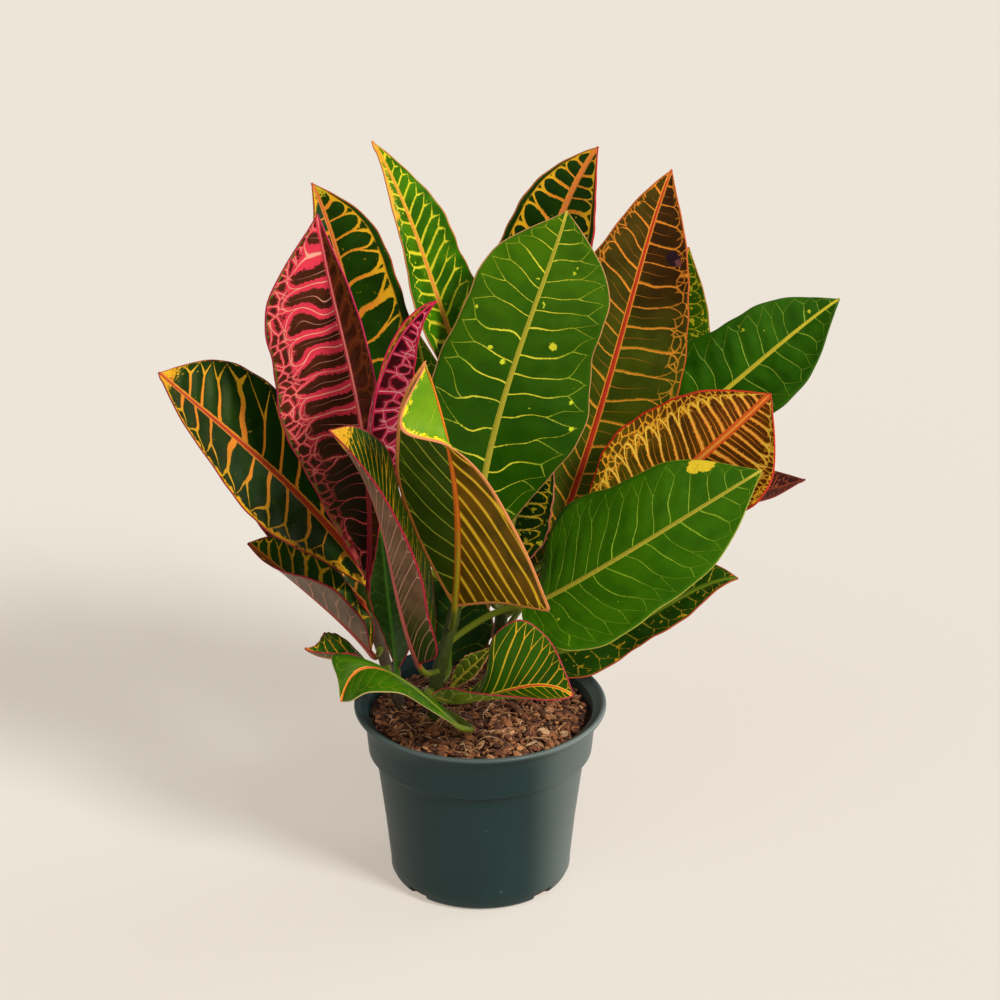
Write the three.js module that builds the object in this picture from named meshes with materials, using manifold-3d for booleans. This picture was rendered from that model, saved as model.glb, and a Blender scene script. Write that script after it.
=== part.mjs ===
// Potted croton: a nursery pot of soil, three stems and twenty-nine leaves on their stalks.
// Millimetres, +Z up, front towards -Y. The origin is the middle of the pot's underside.

import * as THREE from 'three';
import { mergeVertices } from 'three/addons/utils/BufferGeometryUtils.js';
import Module from 'manifold-3d';

const wasm = await Module();
wasm.setup();

// Pot dimensions

const POT_HEIGHT = 80;
const RIM_RADIUS = 52.5;
const BASE_RADIUS = 37.5;
const BASE_CORNER = 4;
const BODY_TOP = { radius: 43.6, height: 56.5 };
const COLLAR_FOOT = { radius: 46.7, height: 58.8 };
const COLLAR_TOP = { radius: 48.3, height: 77.2 };
const WALL = 1.4;
const FLOOR = 1.6;
const POT_SIDES = 48;

const NOTCH = { count: 4, first: 45, width: 10, height: 4.2, inner: 30, outer: 40 };

// Soil dimensions

const SOIL_HEIGHT = 73;
const SOIL_MOUND = 2;
const SOIL_LUMP = 0.8;
const SOIL_SIDES = 40;
const SOIL_RINGS = 7;

// Clearance between pieces that touch

const GAP = 0.3;

// Stem and leaf dimensions

const STEM_SIDES = 10;
const STEM_RINGS = 8;
const BLADE_THICKNESS = 0.7;
const BLADE_END = 0.5;
const BLADE_END_SHARE = 0.04;
const STALK_RADIUS = 1.3;
const STALK_SIDES = 6;
const STALK_STEPS = 4;
const STALK_REACH = 3;
const STALK_BOW = 0.45;

// Cells along and across a blade

const WIDE = { along: 12, across: 6 };
const SMALL = { along: 8, across: 4 };
const TURNED = { along: 12, across: 8 };

// Tints

const TINTS = {
  pot: '#23302e',
  soil: '#4a2c1c',
  greenStem: '#5d6a2c',
  woodyStem: '#7a6a55',
  green: '#3a641f',
  bright: '#4f7a22',
  dark: '#2e4419',
  bronze: '#4d3c1c',
  orange: '#b5742c',
  maroon: '#612c28',
  pink: '#b3374b',
  gold: '#85782a',
  grey: '#7d6950',
};

// A stem's axis is given as x and y at evenly spaced heights from its foot to its tip.

const STEMS = {
  front: {
    foot: 45,
    tip: 137,
    radii: [3.4, 2.6],
    axis: [[-18, -7], [-18, -6], [-18, -5], [-12, -2], [-7, 3]],
    tint: 'greenStem',
  },
  left: {
    foot: 45,
    tip: 133,
    radii: [3.0, 2.2],
    axis: [[-31, 6], [-32, 7], [-39, 11], [-44, 18], [-40, 25]],
    tint: 'woodyStem',
  },
  back: {
    foot: 45,
    tip: 149,
    radii: [3.3, 2.4],
    axis: [[7, 20], [7, 22], [8, 26], [11, 33], [12, 40]],
    tint: 'greenStem',
  },
};

// Each leaf's stalk leaves its stem at the height joins. The midrib has four points, evenly
// spaced from the blade's base to its tip, and faces is where the upper face looks. Left and
// right are seen from above, base to tip. A half is given by its widths at 20, 40, 60 and 80
// per cent, and the angle in degrees that it is folded up by and curls on by. The margin waves
// by so many mm, so many times, each half with its own start. A turned leaf has its two margins
// given as points instead, because it folds over itself.

const LEAVES = [
  {
    name: 'leaf_big_green',
    stem: 'front',
    joins: 134,
    midrib: [[-2, 6, 138], [6, 18, 193], [22, 28, 243], [35, 34, 282]],
    faces: [0.15, -0.93, 0.32],
    twist: 9,
    left: { widths: [20, 30, 29, 23], fold: [4], curl: [6], start: 0.19 },
    right: { widths: [22, 34, 30, 25], fold: [11], curl: [6], start: 0.19 },
    waves: { size: 1.8, count: 2.6 },
    tint: 'green',
  },
  {
    name: 'leaf_top_left',
    stem: 'back',
    joins: 146,
    midrib: [[4, 34, 183], [-14, 40, 232], [-27, 45, 271], [-43, 50, 306]],
    faces: [0.05, -0.81, 0.58],
    twist: -18,
    left: { widths: [13, 20, 18, 12], fold: [57], curl: [0], start: 0 },
    right: { widths: [15, 17, 15, 10], fold: [8], curl: [10], start: 0.1 },
    waves: { size: 1.6, count: 3 },
    tint: 'bright',
  },
  {
    name: 'leaf_top_middle',
    stem: 'back',
    joins: 142,
    midrib: [[17, 46, 165], [22, 54, 226], [33, 60, 270], [48, 62, 300]],
    faces: [-0.22, -0.92, 0.33],
    twist: 2,
    left: { widths: [17, 23, 20, 13], fold: [14], curl: [0], start: 0 },
    right: { widths: [15, 20, 20, 13], fold: [25], curl: [0], start: 0.35 },
    waves: { size: 1, count: 3 },
    tint: 'dark',
  },
  {
    name: 'leaf_bronze',
    stem: 'back',
    joins: 126,
    midrib: [[29, 26, 135], [49, 34, 195], [64, 40, 252], [77, 44, 296]],
    faces: [-0.01, -0.94, 0.34],
    twist: 14,
    left: { widths: [16, 23, 25, 14], fold: [12], curl: [10], start: 0.5 },
    right: { widths: [18, 29, 27, 16], fold: [15], curl: [15], start: 0.85 },
    waves: { size: 1.2, count: 3 },
    tint: 'bronze',
  },
  {
    name: 'leaf_bronze_behind',
    stem: 'back',
    joins: 118,
    midrib: [[34, 44, 132], [58, 54, 182], [74, 60, 226], [86, 62, 257]],
    faces: [-0.19, -0.9, 0.39],
    twist: 0,
    left: { widths: [13, 20, 20, 14], fold: [15], curl: [0], start: 0 },
    right: { widths: [17, 27, 27, 18], fold: [15], curl: [0], start: 0.35 },
    waves: { size: 1, count: 3 },
    tint: 'bright',
  },
  {
    name: 'leaf_right_green',
    stem: 'back',
    joins: 136,
    midrib: [[42, 36, 157], [84, 34, 190], [117, 28, 223], [144, 22, 249]],
    faces: [-0.03, -0.78, 0.62],
    twist: -1,
    left: { widths: [17, 26, 22, 15], fold: [8], curl: [10], start: 0.2 },
    right: { widths: [17, 21, 24, 19], fold: [13], curl: [20], start: 0.55 },
    waves: { size: 1.5, count: 2.5 },
    tint: 'green',
  },
  {
    name: 'leaf_orange_net',
    stem: 'front',
    joins: 122,
    midrib: [[34, 13, 140], [62, 9, 161], [92, 1, 192], [115, -8, 220]],
    faces: [0.14, -0.71, 0.68],
    twist: -12,
    left: { widths: [14, 27, 29, 21], fold: [11], curl: [20], start: 0 },
    right: { widths: [14, 25, 30, 28], fold: [8], curl: [20], start: 0.35 },
    waves: { size: 1.2, count: 2.5 },
    tint: 'orange',
  },
  {
    name: 'leaf_maroon',
    stem: 'back',
    joins: 104,
    midrib: [[36, 38, 120], [74, 44, 141], [110, 46, 152], [136, 44, 161]],
    faces: [0.1, -0.11, 0.99],
    twist: -1,
    left: { widths: [12, 18, 18, 12], fold: [12], curl: [0], start: 0 },
    right: { widths: [12, 18, 20, 15], fold: [19], curl: [0], start: 0.35 },
    waves: { size: 1, count: 2.5 },
    tint: 'maroon',
  },
  {
    name: 'leaf_broad_green',
    stem: 'front',
    joins: 107,
    midrib: [[18, -14, 130], [38, -20, 143], [73, -24, 168], [111, -26, 195]],
    faces: [0.1, -0.5, 0.85],
    twist: -26,
    left: { widths: [24, 36, 30, 22], fold: [-3], curl: [5], start: 0.4 },
    right: { widths: [26, 36, 31, 22], fold: [0], curl: [12], start: 0.75 },
    waves: { size: 1.2, count: 2.2 },
    tint: 'green',
  },
  {
    name: 'leaf_low_right',
    stem: 'back',
    joins: 82,
    midrib: [[11, 8, 97], [50, 8, 104], [81, 6, 123], [106, 4, 134]],
    faces: [-0.01, -0.5, 0.87],
    twist: 9,
    left: { widths: [17, 22, 21, 14], fold: [8], curl: [0], start: 0.3 },
    right: { widths: [17, 16, 14, 9], fold: [13], curl: [10], start: 0.65 },
    waves: { size: 1.5, count: 2.5 },
    tint: 'dark',
  },
  {
    name: 'leaf_inner_spotted',
    stem: 'back',
    joins: 110,
    midrib: [[6, 15, 122], [12, 18, 146], [19, 21, 167], [31, 24, 184]],
    faces: [-0.41, -0.86, 0.3],
    twist: 0,
    left: { widths: [10, 14, 13, 9], fold: [12], curl: [0], start: 0 },
    right: { widths: [10, 17, 17, 11], fold: [14], curl: [0], start: 0.35 },
    waves: { size: 1, count: 2.5 },
    tint: 'dark',
  },
  {
    name: 'leaf_front_turned',
    stem: 'front',
    joins: 114,
    midrib: [[-10, -18, 132], [-8, -38, 175], [-11, -52, 214], [-20, -50, 250]],
    faces: [0, 0.95, -0.1],
    leftMargin: [
      [8, -32, 140], [28, -48, 144], [17, -56, 176],
      [3, -60, 205], [-11, -62, 220], [-30, -62, 228],
    ],
    rightMargin: [
      [-17, -22, 148], [-25, -30, 171], [-31, -38, 196],
      [-31, -44, 215], [-29, -50, 232], [-25, -50, 242],
    ],
    bulge: 0,
    tint: 'gold',
  },
  {
    name: 'leaf_front_boat',
    stem: 'front',
    joins: 96,
    midrib: [[-25, -26, 110], [-33, -45, 155], [-40, -52, 192], [-57, -52, 223]],
    faces: [0.85, 0.34, 0.39],
    leftMargin: [
      [-17, -34, 119], [-20, -46, 142], [-22, -54, 161],
      [-28, -58, 181], [-37, -58, 200], [-48, -56, 215],
    ],
    rightMargin: [
      [-18, -16, 117], [-18, -17, 135], [-21, -18, 157],
      [-30, -27, 182], [-35, -37, 208], [-46, -47, 222],
    ],
    bulge: -1,
    tint: 'grey',
  },
  {
    name: 'leaf_magenta',
    stem: 'front',
    joins: 130,
    midrib: [[-36, -18, 168], [-43, -24, 208], [-34, -27, 244], [-16, -25, 265]],
    faces: [0.62, -0.54, 0.57],
    twist: -2,
    left: { widths: [10, 15, 14, 7], fold: [43], curl: [10], start: 0 },
    right: { widths: [10, 14, 13, 7], fold: [50], curl: [10], start: 0.35 },
    waves: { size: 0, count: 2.5 },
    tint: 'pink',
  },
  {
    name: 'leaf_pink',
    stem: 'left',
    joins: 110,
    midrib: [[-46, 8, 128], [-46, 3, 193], [-54, 2, 242], [-63, 5, 290]],
    faces: [-0.28, -0.92, 0.26],
    twist: -6,
    left: { widths: [20, 30, 31, 27], fold: [29], curl: [5], start: 0 },
    right: { widths: [17, 25, 27, 14], fold: [27, 50, 32], curl: [5], start: 0.35 },
    waves: { size: 1.2, count: 2.5 },
    tint: 'pink',
  },
  {
    name: 'leaf_far_left',
    stem: 'left',
    joins: 103,
    midrib: [[-41, 16, 120], [-71, 10, 165], [-103, 4, 201], [-127, 0, 226]],
    faces: [0.01, -0.56, 0.83],
    twist: -26,
    left: { widths: [15, 30, 33, 23], fold: [22], curl: [10], start: 0.2 },
    right: { widths: [15, 24, 26, 22], fold: [13], curl: [10], start: 0.55 },
    waves: { size: 1, count: 2.5 },
    tint: 'dark',
  },
  {
    name: 'leaf_left_dark',
    stem: 'left',
    joins: 127,
    midrib: [[-35, 24, 161], [-47, 26, 219], [-56, 28, 262], [-66, 26, 296]],
    faces: [0.36, -0.83, 0.43],
    twist: 13,
    left: { widths: [13, 17, 18, 10], fold: [32], curl: [0], start: 0.2 },
    right: { widths: [13, 23, 20, 16], fold: [19], curl: [0], start: 0.55 },
    waves: { size: 1.5, count: 2.5 },
    tint: 'dark',
  },
  {
    name: 'leaf_left_boat',
    stem: 'left',
    joins: 98,
    midrib: [[-45, 4, 99], [-61, 4, 118], [-80, 6, 135], [-95, 8, 148]],
    faces: [0.1, 0.1, 0.9],
    leftMargin: [
      [-47, -2, 116], [-52, -6, 126], [-59, -8, 135],
      [-69, -8, 140], [-79, -4, 141], [-88, 2, 143],
    ],
    rightMargin: [
      [-44, 10, 110], [-50, 13, 119], [-57, 17, 129],
      [-67, 20, 137], [-78, 18, 146], [-87, 12, 149],
    ],
    bulge: -1,
    tint: 'grey',
  },
  {
    name: 'leaf_left_strip',
    stem: 'left',
    joins: 80,
    midrib: [[-34, -8, 97], [-36, -14, 124], [-38, -14, 146], [-40, -10, 167]],
    faces: [-0.4, -0.9, 0.3],
    twist: 0,
    left: { widths: [4, 7, 7, 3], fold: [20], curl: [0], start: 0 },
    right: { widths: [9, 10, 8, 4], fold: [20], curl: [0], start: 0.35 },
    waves: { size: 0.5, count: 2.5 },
    cells: SMALL,
    tint: 'dark',
  },
  {
    name: 'leaf_low_boat',
    stem: 'front',
    joins: 86,
    midrib: [[-20, -20, 93], [-2, -38, 100], [18, -48, 111], [37, -56, 111]],
    faces: [0, -0.3, 0.95],
    leftMargin: [
      [-7, -26, 98], [2, -36, 110], [5, -42, 129],
      [16, -44, 138], [27, -46, 131], [33, -52, 121],
    ],
    rightMargin: [
      [-13, -29, 101], [-3, -48, 109], [6, -56, 112],
      [16, -60, 113], [25, -62, 113], [32, -60, 112],
    ],
    bulge: -2,
    tint: 'bright',
  },
  {
    name: 'leaf_low_left_small',
    stem: 'left',
    joins: 90,
    midrib: [[-41, -12, 97], [-53, -22, 109], [-62, -28, 114], [-70, -30, 119]],
    faces: [0, -0.5, 0.9],
    twist: 0,
    left: { widths: [4, 6, 6, 4], fold: [75], curl: [0], start: 0 },
    right: { widths: [7, 13, 12, 6], fold: [5], curl: [0], start: 0.35 },
    waves: { size: 0.5, count: 2.5 },
    cells: SMALL,
    tint: 'dark',
  },
  {
    name: 'leaf_low_left_turned',
    stem: 'front',
    joins: 80,
    midrib: [[-7, -40, 88], [-21, -40, 101], [-41, -38, 114], [-55, -48, 104]],
    faces: [0, -0.3, 0.95],
    leftMargin: [
      [-13, -44, 94], [-22, -47, 102], [-30, -50, 109],
      [-38, -52, 111], [-45, -53, 111], [-51, -52, 107],
    ],
    rightMargin: [
      [-13, -34, 92], [-23, -30, 99], [-36, -27, 105],
      [-51, -30, 115], [-59, -36, 118], [-56, -44, 111],
    ],
    bulge: 1.5,
    tint: 'bright',
  },
  {
    name: 'leaf_back_middle',
    stem: 'back',
    joins: 90,
    midrib: [[3, 42, 100], [-6, 66, 124], [-17, 90, 158], [-28, 108, 204]],
    faces: [0, -0.75, 0.7],
    twist: 5,
    left: { widths: [15, 24, 22, 13], fold: [14], curl: [5], start: 0.2 },
    right: { widths: [15, 24, 22, 13], fold: [14], curl: [10], start: 0.55 },
    waves: { size: 1.2, count: 2.5 },
    tint: 'green',
  },
  {
    name: 'leaf_back_left',
    stem: 'left',
    joins: 120,
    midrib: [[-34, 36, 130], [-54, 58, 177], [-65, 74, 201], [-74, 84, 226]],
    faces: [0.3, -0.8, 0.5],
    twist: -5,
    left: { widths: [14, 21, 20, 12], fold: [14], curl: [5], start: 0.2 },
    right: { widths: [14, 21, 20, 12], fold: [14], curl: [10], start: 0.55 },
    waves: { size: 1.2, count: 2.5 },
    tint: 'maroon',
  },
  {
    name: 'leaf_back_right',
    stem: 'back',
    joins: 96,
    midrib: [[20, 46, 105], [41, 68, 129], [67, 90, 156], [92, 104, 178]],
    faces: [-0.3, -0.6, 0.75],
    twist: 5,
    left: { widths: [14, 22, 20, 12], fold: [14], curl: [5], start: 0.5 },
    right: { widths: [14, 22, 20, 12], fold: [14], curl: [10], start: 0.85 },
    waves: { size: 1.2, count: 2.5 },
    tint: 'bronze',
  },
  {
    name: 'leaf_back_far_left',
    stem: 'left',
    joins: 92,
    midrib: [[-44, 28, 104], [-70, 42, 130], [-92, 54, 160], [-112, 60, 190]],
    faces: [0.3, -0.5, 0.8],
    twist: 0,
    left: { widths: [12, 18, 18, 11], fold: [14], curl: [5], start: 0.2 },
    right: { widths: [12, 18, 18, 11], fold: [14], curl: [10], start: 0.55 },
    waves: { size: 1.2, count: 2.5 },
    tint: 'dark',
  },
  {
    name: 'leaf_back_tall',
    stem: 'back',
    joins: 132,
    midrib: [[14, 48, 140], [16, 70, 178], [14, 86, 214], [8, 96, 244]],
    faces: [0, -0.92, 0.4],
    twist: 5,
    left: { widths: [14, 21, 20, 12], fold: [14], curl: [5], start: 0.6 },
    right: { widths: [14, 21, 20, 12], fold: [14], curl: [10], start: 0.95 },
    waves: { size: 1.2, count: 2.5 },
    tint: 'green',
  },
  {
    name: 'leaf_inner_dark',
    stem: 'front',
    joins: 90,
    midrib: [[-13, 8, 92], [-12, 11, 107], [-10, 13, 122], [-8, 14, 135]],
    faces: [-0.1, -0.85, 0.5],
    twist: 0,
    left: { widths: [7, 12, 15, 12], fold: [14], curl: [5], start: 0.6 },
    right: { widths: [15, 19, 17, 9], fold: [14], curl: [10], start: 0.95 },
    waves: { size: 0.6, count: 2.5 },
    cells: SMALL,
    tint: 'dark',
  },
  {
    name: 'leaf_inner_olive',
    stem: 'front',
    joins: 82,
    midrib: [[-12, -6, 88], [-7, -9, 96], [-1, -11, 103], [5, -12, 111]],
    faces: [-0.3, -0.7, 0.6],
    twist: 0,
    left: { widths: [3, 5, 5, 3], fold: [20], curl: [5], start: 0.6 },
    right: { widths: [3, 5, 5, 3], fold: [20], curl: [10], start: 0.95 },
    waves: { size: 0.3, count: 2.5 },
    cells: SMALL,
    tint: 'gold',
  },
];

// Closed bodies

function welded(geometry) {
  const plain = new THREE.BufferGeometry();
  plain.setAttribute('position', geometry.attributes.position);
  plain.setIndex(geometry.index);
  const merged = mergeVertices(plain, 1e-3);
  const corners = merged.index.array;
  const kept = [];
  for (let i = 0; i < corners.length; i += 3) {
    const [a, b, c] = [corners[i], corners[i + 1], corners[i + 2]];
    if (a !== b && b !== c && c !== a) {
      kept.push(a, b, c);
    }
  }
  merged.setIndex(kept);
  return merged;
}

function toSolid(geometry) {
  const closed = welded(geometry);
  const mesh = new wasm.Mesh({
    numProp: 3,
    vertProperties: Float32Array.from(closed.attributes.position.array),
    triVerts: Uint32Array.from(closed.index.array),
  });
  return new wasm.Manifold(mesh);
}

function toMesh(solid, name, colour, roughness) {
  const { vertProperties, triVerts } = solid.getMesh();
  const geometry = new THREE.BufferGeometry();
  geometry.setAttribute('position', new THREE.BufferAttribute(vertProperties, 3));
  geometry.setIndex(new THREE.BufferAttribute(triVerts, 1));
  geometry.computeVertexNormals();
  const material = new THREE.MeshStandardMaterial({ color: colour, roughness, metalness: 0 });
  const mesh = new THREE.Mesh(geometry, material);
  mesh.name = name;
  return mesh;
}

function revolved(profile, sides) {
  const points = profile.map(([radius, height]) => new THREE.Vector2(radius, height));
  return new THREE.LatheGeometry(points, sides).rotateX(Math.PI / 2);
}

// Pot

function potInside() {
  return [
    [BASE_RADIUS - WALL, FLOOR],
    [BODY_TOP.radius - WALL, BODY_TOP.height],
    [COLLAR_FOOT.radius - WALL, COLLAR_FOOT.height],
    [COLLAR_TOP.radius - WALL, COLLAR_TOP.height],
  ];
}

function baseCorner() {
  const corner = [];
  for (let step = 0; step <= 3; step += 1) {
    const turn = (step / 3) * (Math.PI / 2);
    const radius = BASE_RADIUS - BASE_CORNER * (1 - Math.sin(turn));
    corner.push([radius, BASE_CORNER * (1 - Math.cos(turn))]);
  }
  return corner;
}

function pot() {
  const lip = [
    [RIM_RADIUS - 0.9, COLLAR_TOP.height + 0.2],
    [RIM_RADIUS, POT_HEIGHT - 1.8],
    [RIM_RADIUS - 0.1, POT_HEIGHT - 0.6],
    [RIM_RADIUS - 0.9, POT_HEIGHT],
    [RIM_RADIUS - 1.9, POT_HEIGHT - 0.1],
    [RIM_RADIUS - 3.1, POT_HEIGHT - 1.6],
  ];
  const outside = [
    [0, 0],
    ...baseCorner(),
    [BODY_TOP.radius, BODY_TOP.height],
    [COLLAR_FOOT.radius, COLLAR_FOOT.height],
    [COLLAR_TOP.radius, COLLAR_TOP.height],
  ];
  const inside = potInside().reverse();
  let body = toSolid(revolved([...outside, ...lip, ...inside, [0, FLOOR]], POT_SIDES));
  for (let i = 0; i < NOTCH.count; i += 1) {
    const reach = NOTCH.outer - NOTCH.inner;
    const block = new THREE.BoxGeometry(reach, NOTCH.width, 2 * NOTCH.height);
    block.translate((NOTCH.inner + NOTCH.outer) / 2, 0, 0);
    block.rotateZ(THREE.MathUtils.degToRad(NOTCH.first + (i * 360) / NOTCH.count));
    body = body.subtract(toSolid(block));
  }
  return toMesh(body, 'pot', TINTS.pot, 0.45);
}

// Soil

function soilHeight(x, y, edge) {
  const mound = SOIL_MOUND * (1 - (x * x + y * y) / (edge * edge));
  const coarse = Math.sin(0.31 * x + 1.1) * Math.cos(0.27 * y - 0.4);
  const fine = Math.sin(0.83 * x - 0.45 * y) * Math.cos(0.7 * y + 0.38 * x);
  return SOIL_HEIGHT + mound + SOIL_LUMP * (0.65 * coarse + 0.35 * fine);
}

function soil(stems) {
  const wall = potInside().map(([radius, height]) => [radius - GAP, height]);
  wall[0][1] += GAP;
  const top = wall.pop();
  const foot = wall.at(-1);
  const share = (SOIL_HEIGHT - foot[1]) / (top[1] - foot[1]);
  const edge = THREE.MathUtils.lerp(foot[0], top[0], share);
  const rings = [];
  for (let ring = 0; ring < SOIL_RINGS; ring += 1) {
    rings.push([edge * (1 - ring / SOIL_RINGS), SOIL_HEIGHT]);
  }
  const profile = [[0, wall[0][1]], ...wall, ...rings, [0, SOIL_HEIGHT]];
  const geometry = revolved(profile, SOIL_SIDES);
  const place = geometry.attributes.position;
  for (let i = 0; i < place.count; i += 1) {
    if (place.getZ(i) > SOIL_HEIGHT - GAP) {
      place.setZ(i, soilHeight(place.getX(i), place.getY(i), edge));
    }
  }
  let body = toSolid(geometry);
  for (const stem of stems) {
    body = body.subtract(stemSolid(stem, GAP));
  }
  return toMesh(body, 'soil', TINTS.soil, 0.95);
}

// Stems

function stemAxis(stem, height) {
  const points = stem.axis.map(([x, y]) => new THREE.Vector3(x, y, 0));
  const curve = new THREE.CatmullRomCurve3(points, false, 'catmullrom', 0.5);
  const share = (height - stem.foot) / (stem.tip - stem.foot);
  return curve.getPoint(THREE.MathUtils.clamp(share, 0, 1)).setZ(height);
}

function stemSolid(stem, swell) {
  const [footRadius, tipRadius] = stem.radii;
  const length = stem.tip - stem.foot + 2 * swell;
  const round = new THREE.CylinderGeometry(
    tipRadius + swell,
    footRadius + swell,
    length,
    STEM_SIDES,
    STEM_RINGS,
  );
  round.rotateX(Math.PI / 2);
  round.translate(0, 0, (stem.foot + stem.tip) / 2);
  const place = round.attributes.position;
  for (let i = 0; i < place.count; i += 1) {
    const axis = stemAxis(stem, place.getZ(i));
    place.setXYZ(i, place.getX(i) + axis.x, place.getY(i) + axis.y, axis.z);
  }
  return toSolid(round);
}

// Leaf blades

function vectors(list) {
  return list.map((point) => new THREE.Vector3(...point));
}

function smooth(values, s) {
  if (values.length === 1) {
    return values[0];
  }
  const points = values.map((value) => new THREE.Vector3(value, 0, 0));
  return new THREE.CatmullRomCurve3(points, false, 'catmullrom', 0.5).getPoint(s).x;
}

function midribCurve(leaf) {
  const [base, lower, upper, tip] = vectors(leaf.midrib);
  const first = base.clone().multiplyScalar(-5).addScaledVector(lower, 18);
  first.addScaledVector(upper, -9).addScaledVector(tip, 2).divideScalar(6);
  const second = base.clone().multiplyScalar(2).addScaledVector(lower, -9);
  second.addScaledVector(upper, 18).addScaledVector(tip, -5).divideScalar(6);
  return new THREE.CubicBezierCurve3(base, first, second, tip);
}

function frameAt(leaf, curve, s) {
  const along = curve.getTangent(s);
  const up = new THREE.Vector3(...leaf.faces).projectOnPlane(along).normalize();
  const aside = new THREE.Vector3().crossVectors(along, up);
  const turn = -THREE.MathUtils.degToRad((leaf.twist ?? 0) * (s - 0.5));
  up.applyAxisAngle(along, turn);
  aside.applyAxisAngle(along, turn);
  return { point: curve.getPoint(s), up, aside };
}

function openPoint(leaf, frame, s, t) {
  const half = t < 0 ? leaf.left : leaf.right;
  const out = Math.abs(t);
  const run = 2 * Math.PI * (leaf.waves.count * s + half.start);
  const swell = leaf.waves.size * Math.sin(Math.PI * s);
  const width = Math.max(BLADE_END, smooth([0, ...half.widths, 0], s));
  const reach = out * Math.max(BLADE_END, width + 0.5 * swell * Math.sin(run) * out);
  const ends = THREE.MathUtils.smoothstep(Math.min(s, 1 - s), 0, BLADE_END_SHARE);
  const tilt = ends * (smooth(half.fold, s) + (smooth(half.curl, s) * out) / 2);
  const angle = THREE.MathUtils.degToRad(tilt);
  const lift = reach * Math.sin(angle) + swell * out * out * Math.cos(run);
  return frame.point
    .addScaledVector(frame.aside, Math.sign(t) * reach * Math.cos(angle))
    .addScaledVector(frame.up, lift);
}

function turnedPoint(leaf, frame, s, t) {
  const base = leaf.midrib[0];
  const tip = leaf.midrib.at(-1);
  const margin = vectors([base, ...(t < 0 ? leaf.leftMargin : leaf.rightMargin), tip]);
  const edge = new THREE.CatmullRomCurve3(margin, false, 'catmullrom', 0.5).getPoint(s);
  const out = Math.abs(t);
  const bulge = leaf.bulge * 4 * out * (1 - out) * Math.sin(Math.PI * s);
  return frame.point
    .lerp(edge, out)
    .addScaledVector(frame.aside, t * BLADE_END)
    .addScaledVector(frame.up, bulge);
}

function bladePoint(leaf, curve, s, t) {
  const frame = frameAt(leaf, curve, s);
  return leaf.leftMargin ? turnedPoint(leaf, frame, s, t) : openPoint(leaf, frame, s, t);
}

function bladeNormal(leaf, curve, s, t) {
  const step = 0.01;
  const [s0, s1] = [Math.max(0, s - step), Math.min(1, s + step)];
  const [t0, t1] = [Math.max(-1, t - step), Math.min(1, t + step)];
  const across = bladePoint(leaf, curve, s, t1).sub(bladePoint(leaf, curve, s, t0));
  const along = bladePoint(leaf, curve, s1, t).sub(bladePoint(leaf, curve, s0, t));
  return across.cross(along).normalize();
}

function rowAt(share) {
  return 0.3 * (1 - Math.cos(Math.PI * share)) + 0.4 * share;
}

function bladeRim(along, across) {
  const rim = [];
  const row = across + 1;
  for (let j = 0; j < across; j += 1) {
    rim.push(j);
  }
  for (let i = 0; i < along; i += 1) {
    rim.push(i * row + across);
  }
  for (let j = across; j > 0; j -= 1) {
    rim.push(along * row + j);
  }
  for (let i = along; i > 0; i -= 1) {
    rim.push(i * row);
  }
  return rim;
}

function bladeSolid(leaf, curve) {
  const { along, across } = leaf.cells ?? (leaf.leftMargin ? TURNED : WIDE);
  const grid = new THREE.PlaneGeometry(2, 1, across, along);
  const spot = grid.attributes.uv;
  const upper = [];
  const lower = [];
  for (let k = 0; k < spot.count; k += 1) {
    const t = 2 * spot.getX(k) - 1;
    const s = rowAt(1 - spot.getY(k));
    const middle = bladePoint(leaf, curve, s, t);
    const normal = bladeNormal(leaf, curve, s, t);
    upper.push(...middle.clone().addScaledVector(normal, BLADE_THICKNESS / 2).toArray());
    lower.push(...middle.clone().addScaledVector(normal, -BLADE_THICKNESS / 2).toArray());
  }
  const faces = [];
  const cells = grid.index.array;
  for (let k = 0; k < cells.length; k += 3) {
    const [a, b, c] = [cells[k], cells[k + 1], cells[k + 2]];
    faces.push(a, c, b);
    faces.push(a + spot.count, b + spot.count, c + spot.count);
  }
  const rim = bladeRim(along, across);
  rim.forEach((a, k) => {
    const b = rim[(k + 1) % rim.length];
    faces.push(b, a, a + spot.count);
    faces.push(b, a + spot.count, b + spot.count);
  });
  const geometry = new THREE.BufferGeometry();
  geometry.setAttribute('position', new THREE.Float32BufferAttribute([...upper, ...lower], 3));
  geometry.setIndex(faces);
  return toSolid(geometry);
}

// Leaf stalks

function stalkSolid(leaf, stem, curve) {
  const start = stemAxis(stem, leaf.joins);
  const base = curve.getPoint(0);
  const along = curve.getTangent(0);
  const bow = base.clone().addScaledVector(along, -STALK_BOW * start.distanceTo(base));
  const end = base.clone().addScaledVector(along, STALK_REACH);
  const ring = [];
  for (let i = 0; i < STALK_SIDES; i += 1) {
    const turn = (i / STALK_SIDES) * 2 * Math.PI;
    ring.push(new THREE.Vector2(Math.cos(turn), Math.sin(turn)).multiplyScalar(STALK_RADIUS));
  }
  const stalk = new THREE.ExtrudeGeometry(new THREE.Shape(ring), {
    steps: STALK_STEPS,
    extrudePath: new THREE.QuadraticBezierCurve3(start, bow, end),
  });
  return toSolid(stalk);
}

function leafMesh(leaf) {
  const stem = STEMS[leaf.stem];
  const curve = midribCurve(leaf);
  const whole = bladeSolid(leaf, curve).add(stalkSolid(leaf, stem, curve));
  const pieces = whole.subtract(stemSolid(stem, GAP)).decompose();
  pieces.sort((a, b) => b.volume() - a.volume());
  return toMesh(pieces[0], leaf.name, TINTS[leaf.tint], 0.4);
}

// Whole plant in its pot

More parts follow.
